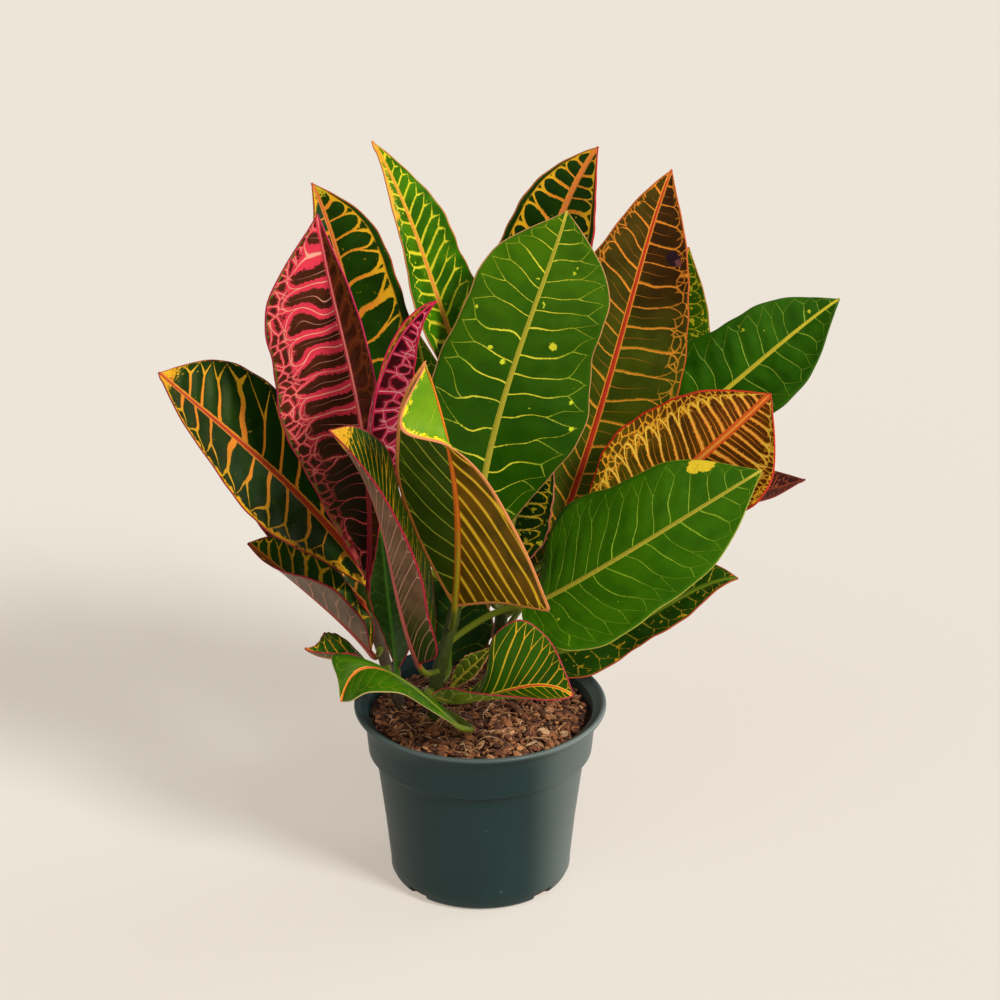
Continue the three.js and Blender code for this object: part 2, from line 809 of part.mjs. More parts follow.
const plant = new THREE.Group();
plant.name = 'potted_croton';
plant.add(pot());
plant.add(soil(Object.values(STEMS)));
for (const [name, stem] of Object.entries(STEMS)) {
  plant.add(toMesh(stemSolid(stem, 0), `stem_${name}`, TINTS[stem.tint], 0.7));
}
for (const leaf of LEAVES) {
  plant.add(leafMesh(leaf));
}

export default plant;
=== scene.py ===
import math

import bmesh
import bpy
import numpy as np
from mathutils import Euler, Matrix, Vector, noise


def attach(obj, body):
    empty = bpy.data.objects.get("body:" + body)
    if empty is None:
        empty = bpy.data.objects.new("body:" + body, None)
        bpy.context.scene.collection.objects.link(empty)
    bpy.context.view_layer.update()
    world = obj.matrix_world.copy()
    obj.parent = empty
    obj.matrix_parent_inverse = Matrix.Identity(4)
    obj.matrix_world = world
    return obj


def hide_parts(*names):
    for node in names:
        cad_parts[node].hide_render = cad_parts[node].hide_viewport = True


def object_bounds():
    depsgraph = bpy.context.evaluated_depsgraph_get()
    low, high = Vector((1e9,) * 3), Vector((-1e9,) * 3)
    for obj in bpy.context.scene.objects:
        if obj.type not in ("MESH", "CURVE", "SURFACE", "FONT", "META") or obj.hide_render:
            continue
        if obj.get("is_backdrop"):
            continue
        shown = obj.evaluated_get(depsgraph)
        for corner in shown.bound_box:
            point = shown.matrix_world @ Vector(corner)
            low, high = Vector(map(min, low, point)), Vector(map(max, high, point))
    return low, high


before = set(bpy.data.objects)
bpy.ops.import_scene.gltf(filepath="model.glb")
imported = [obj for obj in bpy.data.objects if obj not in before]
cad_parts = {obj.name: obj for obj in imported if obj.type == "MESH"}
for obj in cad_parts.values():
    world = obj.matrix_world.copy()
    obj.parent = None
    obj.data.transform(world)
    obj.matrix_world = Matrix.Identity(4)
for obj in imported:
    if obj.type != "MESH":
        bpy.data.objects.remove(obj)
cad_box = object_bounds()

MM = 0.001
WELD = 1e-6


# Studio: a pale seamless floor that glows a little, a soft key light from the upper right in
# front, a weak fill from the left, a low side light from the right and a dim even surround. The
# camera stands 1.2 m away and looks down on the plant.

FLOOR_WIDTH = 12.0
FLOOR_COLOUR = (0.40, 0.40, 0.385)
FLOOR_GLOW = (0.43, 0.368, 0.307)
SURROUND = (1.0, 0.97, 0.94)
SURROUND_STRENGTH = 0.22
CAMERA_AIM = Vector((8.245, 0.0, 170.747)) * MM
CAMERA_DISTANCE = 1.2
CAMERA_PITCH = 23.753
CAMERA_LENS = 106.955
CAMERA_SENSOR = 36.0


def linear(code):
    """A colour as screens show it, such as "#3a641f", in the light units that shaders use."""
    channels = [int(code[i:i + 2], 16) / 255 for i in (1, 3, 5)]
    lit = [c / 12.92 if c <= 0.04045 else ((c + 0.055) / 1.055) ** 2.4 for c in channels]
    return (*lit, 1.0)


def keep(bm, name):
    """Turns a finished bmesh into an object of that name."""
    mesh = bpy.data.meshes.new(name)
    bm.to_mesh(mesh)
    bm.free()
    piece = bpy.data.objects.new(name, mesh)
    bpy.context.scene.collection.objects.link(piece)
    return piece


def sky_light(name, towards, spread, strength, colour):
    """Even light from far off in one direction, as soft as the angle it comes from is wide."""
    light = bpy.data.lights.new(name, "SUN")
    light.angle = math.radians(spread)
    light.energy = strength
    light.color = colour
    holder = bpy.data.objects.new(name, light)
    holder.rotation_mode = "QUATERNION"
    holder.rotation_quaternion = (-Vector(towards)).to_track_quat("-Z", "Y")
    bpy.context.scene.collection.objects.link(holder)


scene = bpy.context.scene
scene.view_settings.view_transform = "Standard"

camera_data = bpy.data.cameras.new("camera")
camera_data.lens = CAMERA_LENS
camera_data.sensor_width = CAMERA_SENSOR
camera = bpy.data.objects.new("camera", camera_data)
pitch = math.radians(CAMERA_PITCH)
camera.location = CAMERA_AIM + CAMERA_DISTANCE * Vector((0, -math.cos(pitch), math.sin(pitch)))
camera.rotation_euler = (math.pi / 2 - pitch, 0, 0)
scene.collection.objects.link(camera)
scene.camera = camera

world = bpy.data.worlds.new("surround")
world.use_nodes = True
world.node_tree.nodes["Background"].inputs["Color"].default_value = (*SURROUND, 1)
world.node_tree.nodes["Background"].inputs["Strength"].default_value = SURROUND_STRENGTH
scene.world = world

sky_light("key_light", (0.56, -0.54, 0.66), 16, 3.0, (1.0, 0.97, 0.92))
sky_light("fill_light", (-0.45, -0.80, 0.60), 60, 0.7, (0.96, 0.98, 1.0))
sky_light("side_light", (0.90, 0.40, 0.08), 50, 2.2, (1.0, 1.0, 1.0))

bm = bmesh.new()
bmesh.ops.create_grid(bm, x_segments=1, y_segments=1, size=FLOOR_WIDTH / 2)
floor = keep(bm, "floor")
floor_paint = bpy.data.materials.new("floor_paint")
floor_paint.use_nodes = True
floor_shader = floor_paint.node_tree.nodes["Principled BSDF"]
floor_shader.inputs["Base Color"].default_value = (*FLOOR_COLOUR, 1)
floor_shader.inputs["Emission Color"].default_value = (*FLOOR_GLOW, 1)
floor_shader.inputs["Emission Strength"].default_value = 1.0
floor_shader.inputs["Roughness"].default_value = 0.95
floor_shader.inputs["Specular IOR Level"].default_value = 0.1
floor.data.materials.append(floor_paint)
floor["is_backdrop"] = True


# Nursery pot: one thin moulding of dark green polypropylene. The body tapers down to a rounded
# foot with four drain notches, and a wider collar carries a rolled rim.

POT_HEIGHT = 80.0
RIM_RADIUS = 52.5
BASE_RADIUS = 37.5
BASE_CORNER = 4.0
BODY_TOP = (43.6, 56.5)
COLLAR_FOOT = (46.7, 58.8)
COLLAR_TOP = (48.3, 77.2)
WALL = 1.4
POT_FLOOR = 1.6
POT_STEPS = 144
POT_EDGE_ROUNDING = 0.25
NOTCH_STEPS = 6
NOTCH_HEIGHT = 4.2
NOTCH_INNER = 30.0


def maths(operation, swapped=False):
    """A method that adds a Math node to what a field and its arguments hold."""
    def method(field, *others):
        values = (*others, field) if swapped else (field, *others)
        node = field.paint.node(
            "ShaderNodeMath", {"operation": operation}, dict(enumerate(values)))
        return Field(field.paint, node.outputs[0])
    return method


class Field:
    """A socket of numbers that change over a surface. Sums and products add Math nodes."""

    def __init__(self, paint, socket):
        self.paint = paint
        self.socket = socket

    __add__ = __radd__ = maths("ADD")
    __sub__ = maths("SUBTRACT")
    __rsub__ = maths("SUBTRACT", swapped=True)
    __mul__ = __rmul__ = maths("MULTIPLY")
    __truediv__ = maths("DIVIDE")
    __rtruediv__ = maths("DIVIDE", swapped=True)
    size = maths("ABSOLUTE")
    least = maths("MINIMUM")
    most = maths("MAXIMUM")
    above = maths("GREATER_THAN")
    root = maths("SQRT")
    floor = maths("FLOOR")

    def rise(self, low, high):
        """A smooth step from 0 at low to 1 at high, either of which may be a field."""
        node = self.paint.node(
            "ShaderNodeMapRange",
            {"interpolation_type": "SMOOTHSTEP"},
            {"Value": self, "From Min": low, "From Max": high},
        )
        return Field(self.paint, node.outputs["Result"])


class Paint:
    """A material whose nodes all come from one method."""

    def __init__(self, name):
        self.material = bpy.data.materials.new(name)
        self.material.use_nodes = True
        self.tree = self.material.node_tree
        self.shader = self.tree.nodes["Principled BSDF"]

    def fill(self, socket, value):
        """Links a socket to a field or another socket, or sets it to a colour or number."""
        if isinstance(value, Field):
            value = value.socket
        if isinstance(value, bpy.types.NodeSocket):
            self.tree.links.new(value, socket)
        else:
            socket.default_value = linear(value) if isinstance(value, str) else value

    def node(self, kind, settings=None, sockets=None):
        """Adds a node: its settings first, then the values or links of its sockets."""
        node = self.tree.nodes.new(kind)
        for key, value in (settings or {}).items():
            if key == "stops":
                elements = node.color_ramp.elements
                for position, code in value[1:-1]:
                    elements.new(position)
                for element, (position, code) in zip(elements, value):
                    element.position = position
                    element.color = linear(code)
            else:
                setattr(node, key, value)
        for key, value in (sockets or {}).items():
            self.fill(node.inputs[key], value)
        return node

    def place(self):
        return self.node("ShaderNodeTexCoord").outputs["Object"]

    def grain(self, vector, scale, detail=2.0, roughness=0.5):
        """Fine noise from 0 to 1 about 0.5."""
        sockets = {"Vector": vector, "Scale": scale, "Detail": detail, "Roughness": roughness}
        return Field(self, self.node("ShaderNodeTexNoise", None, sockets).outputs["Fac"])

    def parts(self, vector):
        """The three components of a vector."""
        node = self.node("ShaderNodeSeparateXYZ", None, {"Vector": vector})
        return [Field(self, output) for output in node.outputs]

    def measures(self, layer):
        """The two numbers that a UV layer holds."""
        return self.parts(self.node("ShaderNodeUVMap", {"uv_map": layer}).outputs[0])[:2]

    def vector(self, x, y, z):
        return self.node("ShaderNodeCombineXYZ", None, {"X": x, "Y": y, "Z": z}).outputs[0]

    def blend(self, share, first, second):
        """A colour between first, where share is 0, and second, where it is 1."""
        sockets = {0: share, 6: first, 7: second}
        return self.node("ShaderNodeMix", {"data_type": "RGBA"}, sockets).outputs[2]

    def surface(self, colour, roughness, height, depth, **constants):
        """Feeds the shader: a colour, a roughness, a relief and sockets with one value each."""
        self.fill(self.shader.inputs["Base Color"], colour)
        self.fill(self.shader.inputs["Roughness"], roughness)
        bump = self.node("ShaderNodeBump", None, {"Height": height, "Distance": depth})
        self.fill(self.shader.inputs["Normal"], bump.outputs["Normal"])
        for name, value in constants.items():
            self.shader.inputs[name.replace("_", " ")].default_value = value
        return self.material


def arc(centre, radius, start, end, steps):
    """Points on an arc in the plane of radius and height, angles in degrees."""
    turns = [math.radians(start + (end - start) * i / steps) for i in range(steps + 1)]
    return [(centre[0] + radius * math.cos(a), centre[1] + radius * math.sin(a)) for a in turns]


def pot_plastic():
    """Mottled and dusty green, paler on its right as a painted sheen and along the rim in front as a painted
    highlight.
    """
    paint = Paint("pot_plastic")
    place = paint.place()
    cloud = paint.grain(place, 38, 3)
    fine = paint.grain(place, 900, 2)
    dust = paint.grain(place, 420, 4, 0.7).rise(0.66, 0.74) * cloud.rise(0.5, 0.62)
    green = paint.blend(cloud, "#0d2524", "#143030")
    x, y, z = paint.parts(place)
    painted_sheen_right = x.rise(0.018, 0.038) * (0.28 - y.rise(0.01, 0.03) * 0.2) * (0.75 + cloud * 0.5)
    painted_rim_highlight = z.rise(0.0782, 0.0794) * y.rise(0.02, -0.03) * 0.25
    # Painted highlight: the right side and the front of the rim are blended towards pale grey.
    green = paint.blend(painted_sheen_right + painted_rim_highlight, green, "#8b9691")
    colour = paint.blend(dust * 0.35, green, "#8d9a94")
    roughness = 0.34 + cloud * 0.16 + dust * 0.3
    return paint.surface(colour, roughness, fine * 0.5 + cloud, 0.12 * MM, Specular_IOR_Level=0.24)


def spun(profile, steps):
    """A profile of radius and height in mm, turned once round the Z axis."""
    bm = bmesh.new()
    rim = [bm.verts.new((radius * MM, 0, height * MM)) for radius, height in profile]
    edges = [bm.edges.new(pair) for pair in zip(rim, rim[1:])]
    bmesh.ops.spin(
        bm, geom=rim + edges, cent=(0, 0, 0), axis=(0, 0, 1), angle=2 * math.pi,
        steps=steps, use_merge=True,
    )
    bmesh.ops.remove_doubles(bm, verts=bm.verts, dist=WELD)
    bmesh.ops.recalc_face_normals(bm, faces=bm.faces)
    return bm


def pot_profile():
    """From the middle of the underside round the foot, wall and rim to the middle inside."""
    corner = arc((BASE_RADIUS - BASE_CORNER, BASE_CORNER), BASE_CORNER, -90, -4, 7)
    inner_corner = [(radius - WALL, height + 0.4) for radius, height in corner[2:]]
    step = (COLLAR_FOOT[0] - BODY_TOP[0]) * 0.15
    outside = [
        (0, 0), (NOTCH_INNER, 0), *corner, (37.95, NOTCH_HEIGHT), (38.1, 8), (40, 27),
        (BODY_TOP[0] - 0.12, BODY_TOP[1] - 1.2), BODY_TOP,
        (BODY_TOP[0] + step, BODY_TOP[1] + 0.15), (COLLAR_FOOT[0] - step, COLLAR_FOOT[1] - 0.25),
        COLLAR_FOOT, (COLLAR_FOOT[0] + 0.1, COLLAR_FOOT[1] + 1.0), (47.6, 69), COLLAR_TOP,
    ]
    rolled = arc((RIM_RADIUS - 1.25, POT_HEIGHT - 1.25), 1.25, -70, 100, 9)
    lip = [(RIM_RADIUS - 3.9, 77.45), *rolled, (RIM_RADIUS - 2.3, 79.3), (RIM_RADIUS - 3.1, 78.4)]
    inside = [
        (COLLAR_TOP[0] - WALL, COLLAR_TOP[1]), (COLLAR_FOOT[0] - WALL, COLLAR_FOOT[1]),
        (BODY_TOP[0] - WALL, BODY_TOP[1]), (40 - WALL, 27), (38.1 - WALL, 8),
        (37.95 - WALL, NOTCH_HEIGHT), *reversed(inner_corner), (NOTCH_INNER, POT_FLOOR),
        (0, POT_FLOOR),
    ]
    return [*outside, *lip, *inside]


def cut_notches(bm):
    """Opens four notches in the foot and walls each one in between the two skins."""
    half = math.pi * NOTCH_STEPS / POT_STEPS
    for turn in (45, 135, 225, 315):
        middle = math.radians(turn)
        window = []
        for face in bm.faces:
            centre = face.calc_center_median()
            away = math.atan2(centre.y, centre.x) - middle
            away = (away + math.pi) % (2 * math.pi) - math.pi
            low = centre.z < NOTCH_HEIGHT * MM
            if abs(away) < half and low and centre.to_2d().length > NOTCH_INNER * MM:
                window.append(face)
        bmesh.ops.delete(bm, geom=window, context="FACES")
        open_edges = [edge for edge in bm.edges if edge.is_boundary]
        bmesh.ops.bridge_loops(bm, edges=open_edges)
    bmesh.ops.recalc_face_normals(bm, faces=bm.faces)


bm = spun(pot_profile(), POT_STEPS)
cut_notches(bm)
for face in bm.faces:
    face.smooth = True
pot = keep(bm, "nursery_pot")
rounding = pot.modifiers.new("soft_edges", "BEVEL")
rounding.width = POT_EDGE_ROUNDING * MM
rounding.segments = 2
rounding.limit_method = "ANGLE"
rounding.angle_limit = math.radians(50)
pot.data.materials.append(pot_plastic())
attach(pot, "root")
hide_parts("pot")


# Soil: coir and fine bark that fill the pot to 7 mm below its rim. The top is strewn with loose
# chips, crumbs and curled fibres, each half sunk in the mix.

SOIL_HEIGHT = 73.0
SOIL_MOUND = 2.0
SOIL_LUMP = 0.8
SOIL_EDGE = 46.3
SOIL_GAP = 0.3
CHIPS = [(560, (2.4, 5.2), 2), (1500, (0.9, 2.4), 1)]
CHIP_STRETCH = ((0.8, 0.5, 0.25), (1.5, 0.9, 0.7))
CHIP_TILT = 0.6
CHIP_ROUGHNESS = 0.45
FIBRES = 240
FIBRE_LENGTH = (5, 13)
FIBRE_RADIUS = (0.12, 0.30)
FIBRE_ARCH = (0.4, 2.0)


def soil_height(x, y):
    mound = SOIL_MOUND * (1 - (x * x + y * y) / SOIL_EDGE ** 2)
    coarse = math.sin(0.31 * x + 1.1) * math.cos(0.27 * y - 0.4)
    fine = math.sin(0.83 * x - 0.45 * y) * math.cos(0.7 * y + 0.38 * x)
    return SOIL_HEIGHT + mound + SOIL_LUMP * (0.65 * coarse + 0.35 * fine)


def soil_mix():
    paint = Paint("soil_mix")
    place = paint.place()
    tone = paint.node("ShaderNodeAttribute", {"attribute_name": "tone"}).outputs["Fac"]
    stops = [
        (0.0, "#2a140a"), (0.25, "#5a3018"), (0.45, "#86502c"), (0.65, "#a8693c"),
        (0.85, "#cf9560"), (1.0, "#ecc294"),
    ]
    ramp = paint.node("ShaderNodeValToRGB", {"stops": stops}, {"Fac": tone})
    speck = paint.grain(place, 700, 4, 0.7)
    colour = paint.blend(speck.rise(0.35, 0.7) * 0.6, ramp.outputs["Color"], "#3a1d10")
    return paint.surface(colour, 0.85, speck, 0.5 * MM)


def soil_body(bm, tone):
    """The fill, with a lumpy top, from the pot's floor to the surface."""
    wall = [(35.8, 1.9), (38.0 - WALL - SOIL_GAP, 8), (41.9, 56.5), (45.0, 58.8), (46.1, 72.4)]
    rings = 26
    top = [(SOIL_EDGE * (1 - i / rings), SOIL_HEIGHT) for i in range(rings)]
    body = spun([(0, 1.9), *wall, *top, (0, SOIL_HEIGHT)], 96)
    for vert in body.verts:
        if vert.co.z > (SOIL_HEIGHT - 0.2) * MM:
            x, y = vert.co.x / MM, vert.co.y / MM
            grit = noise.fractal(Vector((x, y, 3)) * 0.35, 0.7, 2.0, 4)
            vert.co.z = (soil_height(x, y) - 0.6 + 1.1 * grit) * MM
    pour(bm, body)
    for vert in bm.verts:
        vert[tone] = 0.12 + 0.12 * noise.noise(vert.co * 900)


def pour(bm, batch):
    """Adds a finished batch to the rest and clears it away."""
    mesh = bpy.data.meshes.new("batch")
    batch.to_mesh(mesh)
    batch.free()
    bm.from_mesh(mesh)
    bpy.data.meshes.remove(mesh)


def strew(bm, count, make, *rest):
    """Makes count small things in batches, because a small mesh grows faster than a full one."""
    for start in range(0, count, 40):
        batch = bmesh.new()
        tone = batch.verts.layers.float.new("tone")
        for _ in range(min(40, count - start)):
            make(batch, tone, *rest)
        pour(bm, batch)


def soil_chip(bm, tone, rng, sizes, fineness):
    """One crumb of bark or coir, squashed and torn, half sunk in the surface."""
    size = rng.uniform(*sizes)
    reach = (SOIL_EDGE - 0.8 - size / 2) * math.sqrt(rng.uniform(0, 1))
    turn = rng.uniform(0, 2 * math.pi)
    x, y = reach * math.cos(turn), reach * math.sin(turn)
    made = bmesh.ops.create_icosphere(bm, subdivisions=fineness, radius=0.5)["verts"]
    stretch = Vector(size * rng.uniform(*CHIP_STRETCH))
    tilt = rng.uniform((-CHIP_TILT, -CHIP_TILT, 0), (CHIP_TILT, CHIP_TILT, 2 * math.pi))
    spin = Vector(rng.uniform(0, 50, 3))
    centre = Vector((x, y, soil_height(x, y) + rng.uniform(-0.5, 1.1)))
    turned = Euler(tilt).to_matrix()
    shade = min(1.0, max(0.05, rng.normal(0.5, 0.23)))
    for vert in made:
        rough = 1 + CHIP_ROUGHNESS * noise.noise(vert.co * 2.3 + spin)
        local = Vector((vert.co.x * stretch.x, vert.co.y * stretch.y, vert.co.z * stretch.z))
        vert.co = (centre + turned @ (local * rough)) * MM
        vert[tone] = shade + 0.1 * noise.noise(vert.co * 1500)


def soil_fibre(bm, tone, rng):
    """A dry root or coir fibre that arches over the crumbs."""
    length = rng.uniform(*FIBRE_LENGTH)
    thick = rng.uniform(*FIBRE_RADIUS)
    reach = (SOIL_EDGE - 7) * math.sqrt(rng.uniform(0, 1))
    turn, way = rng.uniform(0, 2 * math.pi, 3)[:2]
    x, y = reach * math.cos(turn), reach * math.sin(turn)
    made = bmesh.ops.create_grid(bm, x_segments=4, y_segments=8, size=1)["verts"]
    arch = rng.uniform(*FIBRE_ARCH)
    curl = rng.uniform(-1.2, 1.2)
    shade = rng.uniform(0.7, 1.0)
    for vert in made:
        share = (vert.co.y + 1) / 2
        round_turn = (vert.co.x + 1) * math.pi
        radius = thick * (1 - 0.7 * abs(2 * share - 1)) * min(1, 12 * share, 12 * (1 - share))
        heading = way + curl * (share - 0.5)
        px = x + (share - 0.5) * length * math.cos(heading)
        py = y + (share - 0.5) * length * math.sin(heading)
        lift = soil_height(px, py) + 0.3 + arch * math.sin(math.pi * share)
        px -= radius * math.cos(round_turn) * math.sin(heading)
        py += radius * math.cos(round_turn) * math.cos(heading)
        vert.co = Vector((px, py, lift + radius * math.sin(round_turn))) * MM
        vert[tone] = shade
    bmesh.ops.remove_doubles(bm, verts=made, dist=WELD)


rng = np.random.default_rng(7)
bm = bmesh.new()
tone = bm.verts.layers.float.new("tone")
soil_body(bm, tone)
for count, sizes, fineness in CHIPS:
    strew(bm, count, soil_chip, rng, sizes, fineness)
strew(bm, FIBRES, soil_fibre, rng)
soil = keep(bm, "coir_soil")
soil.data.materials.append(soil_mix())
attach(soil, "root")
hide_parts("soil")


# Stems: the front and back ones are young and olive green, their green painted darker as painted shade under
# the leaves, and the left one is woody.
# Each is a slim shoot with a low ridge where an old leaf has dropped, and it stands in the soil.

STEMS = {
    "front": dict(foot=45, tip=137, radii=(3.4, 2.6), green=1.0,
                  axis=[(-18, -7), (-18, -6), (-18, -5), (-12, -2), (-7, 3)]),
    "left": dict(foot=45, tip=133, radii=(3.0, 2.2), green=0.15,
                 axis=[(-31, 6), (-32, 7), (-39, 11), (-44, 18), (-40, 25)]),
    "back": dict(foot=45, tip=149, radii=(3.3, 2.4), green=0.8,
                 axis=[(7, 20), (7, 22), (8, 26), (11, 33), (12, 40)]),
}
STEM_GRID = (24, 90)
STEM_DOME = 0.03
STEM_LUMP = 0.12
SCARS = dict(count=6.5, height=0.28, tilt=0.8, sharpness=24)


def smooth_curve(points, share):
    """Evenly spaced points joined by one smooth curve, at shares of its length from 0 to 1."""
    points = np.asarray(points, float)
    ends = np.asarray([2 * points[0] - points[1], *points, 2 * points[-1] - points[-2]])
    run = np.clip(share, 0, 1) * (len(points) - 1)
    i = np.minimum(run.astype(int), len(points) - 2)
    u = (run - i).reshape(-1, *[1] * (points.ndim - 1))
    a, b, c, d = ends[i], ends[i + 1], ends[i + 2], ends[i + 3]
    cubic = (3 * b - a - 3 * c + d) * u ** 3 + (2 * a - 5 * b + 4 * c - d) * u ** 2
    return 0.5 * (cubic + (c - a) * u + 2 * b)


def stem_axis(stem, height):
    """Points on a stem's middle line at those heights."""
    share = (height - stem["foot"]) / (stem["tip"] - stem["foot"])
    return np.column_stack([smooth_curve(stem["axis"], share), height])


def stem_bark(name, green):
    paint = Paint(name)
    place = paint.place()
    x, y, z = paint.parts(place)
    streak = paint.grain(paint.vector(x * 6, y * 6, z), 260, 4, 0.65)
    cork = paint.grain(place, 330, 3, 0.6).rise(0.55 - 0.3 * (1 - green), 0.75)
    # Painted shade: the young bark's olive is darkened towards black for the shade under the leaves.
    young = paint.blend(streak, "#1f2a08", "#48541a")
    old = paint.blend(streak, "#2c2219", "#66543e")
    colour = paint.blend(cork * (1 - 0.6 * green), young, old) if green > 0.5 else old
    roughness = 0.55 + 0.25 * (1 - green)
    return paint.surface(colour, roughness, streak + cork, 0.5 * MM, Specular_IOR_Level=0.2)


def shoot(bm, stem):
    """A tube round the stem's axis with leaf scars as low rings, domed at its tip."""
    around, up = STEM_GRID
    made = bmesh.ops.create_grid(bm, x_segments=around, y_segments=up, size=1)["verts"]
    heights = np.linspace(stem["foot"], stem["tip"], up + 1)
    axis = stem_axis(stem, heights)
    foot, tip = stem["radii"]
    for vert in made:
        turn = (vert.co.x + 1) * math.pi
        row = round((vert.co.y + 1) / 2 * up)
        share = row / up
        dome = math.sqrt(max(0.0, 1 - max(0.0, (share - 1 + STEM_DOME) / STEM_DOME) ** 2))
        sink = 0.0 if row == 0 else 1.0
        beat = share * 2 * math.pi * SCARS["count"] + SCARS["tilt"] * math.sin(turn)
        ring = SCARS["height"] * max(0.0, math.cos(beat)) ** SCARS["sharpness"]
        around_once = Vector((math.cos(turn), math.sin(turn), share * 14))
        lump = STEM_LUMP * noise.noise(around_once * 1.7)
        radius = (foot + (tip - foot) * share + ring + lump) * dome * sink
        x, y, z = axis[row]
        vert.co = Vector((x + radius * math.cos(turn), y + radius * math.sin(turn), z)) * MM
    bmesh.ops.remove_doubles(bm, verts=made, dist=WELD)
    bmesh.ops.recalc_face_normals(bm, faces=bm.faces)


for name, stem in STEMS.items():
    bm = bmesh.new()
    shoot(bm, stem)
    for face in bm.faces:
        face.smooth = True
    piece = keep(bm, f"shoot_{name}")
    piece.data.materials.append(stem_bark(f"bark_{name}", stem["green"]))
    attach(piece, "root")
    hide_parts(f"stem_{name}")


# Leaves with a green ground and thin yellow veins. Every leaf is one thin blade, glossy above
# and dull below, on a round stalk that runs on under the blade as its midrib.

BLADE = dict(thickness=0.5, end=0.5, end_share=0.04, frill=0.25, across=28, along=88)
STALK = dict(radius=1.3, bow=0.45, flare=0.5, flare_length=4, end=0.97, around=12, along=30)
LEAF = dict(
    twist=0, fold=(14, 14), curl=(0, 0), start=(0, 0.35), waves=(1, 2.5), pitch=8.0,
    slope=[0.5, 0.5], bend=0.004, rise=0, stout=1.0, quilt=0.45, corner=None,
)


def unit(vectors):
    """The vectors with a length of 1."""
    return vectors / np.maximum(np.linalg.norm(vectors, axis=-1, keepdims=True), 1e-9)


def midrib(leaf, s):
    """Points and directions on the cubic through the midrib's four evenly spaced points."""
    p = np.asarray(leaf["midrib"], float)
    first = (-5 * p[0] + 18 * p[1] - 9 * p[2] + 2 * p[3]) / 6
    second = (2 * p[0] - 9 * p[1] + 18 * p[2] - 5 * p[3]) / 6
    s = s[:, None]
    r = 1 - s
    point = r ** 3 * p[0] + 3 * r * r * s * first + 3 * r * s * s * second + s ** 3 * p[3]
    along = r * r * (first - p[0]) + 2 * r * s * (second - first) + s * s * (p[3] - second)
    return point, unit(along)


def blade_frame(leaf, s):
    """The midrib's points with the upper face's direction and the way to the right."""
    point, along = midrib(leaf, s)
    faces = np.asarray(leaf["faces"], float)
    up = unit(faces - (along @ faces)[:, None] * along)
    aside = np.cross(along, up)
    turn = np.radians(leaf["twist"] * (s - 0.5))[:, None]
    cos, sin = np.cos(turn), np.sin(turn)
    return point, up * cos - aside * sin, aside * cos + up * sin


def by_half(t, left, right):
    """One value for the left half, where t is below 0, and one for the right."""
    return np.where(t < 0, left, right)


def open_blade(leaf, s, t):
    """Places on a blade given by the widths, fold and curl of its two halves."""
    point, up, aside = blade_frame(leaf, s)
    out = np.abs(t)
    size, count = leaf["waves"]
    run = 2 * np.pi * (count * s + by_half(t, *leaf["start"]))
    swell = size * np.sin(np.pi * s)
    edges = [smooth_curve([0, *leaf[side], 0], s) for side in ("left", "right")]
    frill = BLADE["frill"] * np.sin(np.pi * s) * np.sin(run * 3.7 + 2.0 * t) * out ** 4
    width = np.maximum(BLADE["end"], by_half(t, *edges))
    width = np.maximum(BLADE["end"], width + 0.5 * swell * np.sin(run) * out + frill)
    reach = out * width
    ends = np.clip(np.minimum(s, 1 - s) / BLADE["end_share"], 0, 1)
    ends = ends * ends * (3 - 2 * ends)
    folds = [smooth_curve(fold, s) if np.ndim(fold) else fold for fold in leaf["fold"]]
    angle = np.radians(ends * (by_half(t, *folds) + by_half(t, *leaf["curl"]) * out / 2))
    lift = reach * np.sin(angle) + swell * out * out * np.cos(run)
    place = point + (np.sign(t) * reach * np.cos(angle))[:, None] * aside + lift[:, None] * up
    return place, width


def margin_curve(points, s, corner):
    """A smooth curve through evenly spaced points, with a sharp corner at one of them if told."""
    if not corner:
        return smooth_curve(points, s)
    run = s * (len(points) - 1)
    before = smooth_curve(points[:corner + 1], run / corner)
    after = smooth_curve(points[corner:], (run - corner) / (len(points) - 1 - corner))
    return np.where((run < corner)[:, None], before, after)


def turned_blade(leaf, s, t):
    """Places on a blade that folds over, given by its margins' points in space."""
    point, up, aside = blade_frame(leaf, s)
    base, tip = leaf["midrib"][0], leaf["midrib"][-1]
    left = margin_curve([base, *leaf["left_margin"], tip], s, leaf["corner"])
    right = margin_curve([base, *leaf["right_margin"], tip], s, None)
    edge = np.where((t < 0)[:, None], left, right)
    out = np.abs(t)
    bulge = leaf["bulge"] * 4 * out * (1 - out) * np.sin(np.pi * s)
    place = point + (edge - point) * out[:, None]
    place = place + (t * BLADE["end"])[:, None] * aside + bulge[:, None] * up
    return place, np.maximum(BLADE["end"], np.linalg.norm(edge - point, axis=1))


def blade(leaf, s, t):
    return turned_blade(leaf, s, t) if "left_margin" in leaf else open_blade(leaf, s, t)


def vein_phase(leaf, side, across, along):
    """Whole numbers lie on the side veins, which leave the midrib forwards and then arch."""
    slope = by_half(side, *leaf["slope"]) + (along / blade_length(leaf) - 0.5) * leaf["rise"]
    return (along - slope * across - leaf["bend"] * across ** 2) / leaf["pitch"] + 0.5 * (side > 0)


def blade_length(leaf):
    point, along = midrib(leaf, np.linspace(0, 1, 60))
    return np.linalg.norm(np.diff(point, axis=0), axis=1).sum()


def write_measures(faces, layers):
    """Writes what was noted for each vert into the corners of its faces, before verts merge."""
    for face in faces:
        for loop in face.loops:
            aside, ahead, share, edge = layers["seen"][loop.vert]
            loop[layers["blade"]].uv = (aside, ahead)
            loop[layers["edge"]].uv = (share, edge)


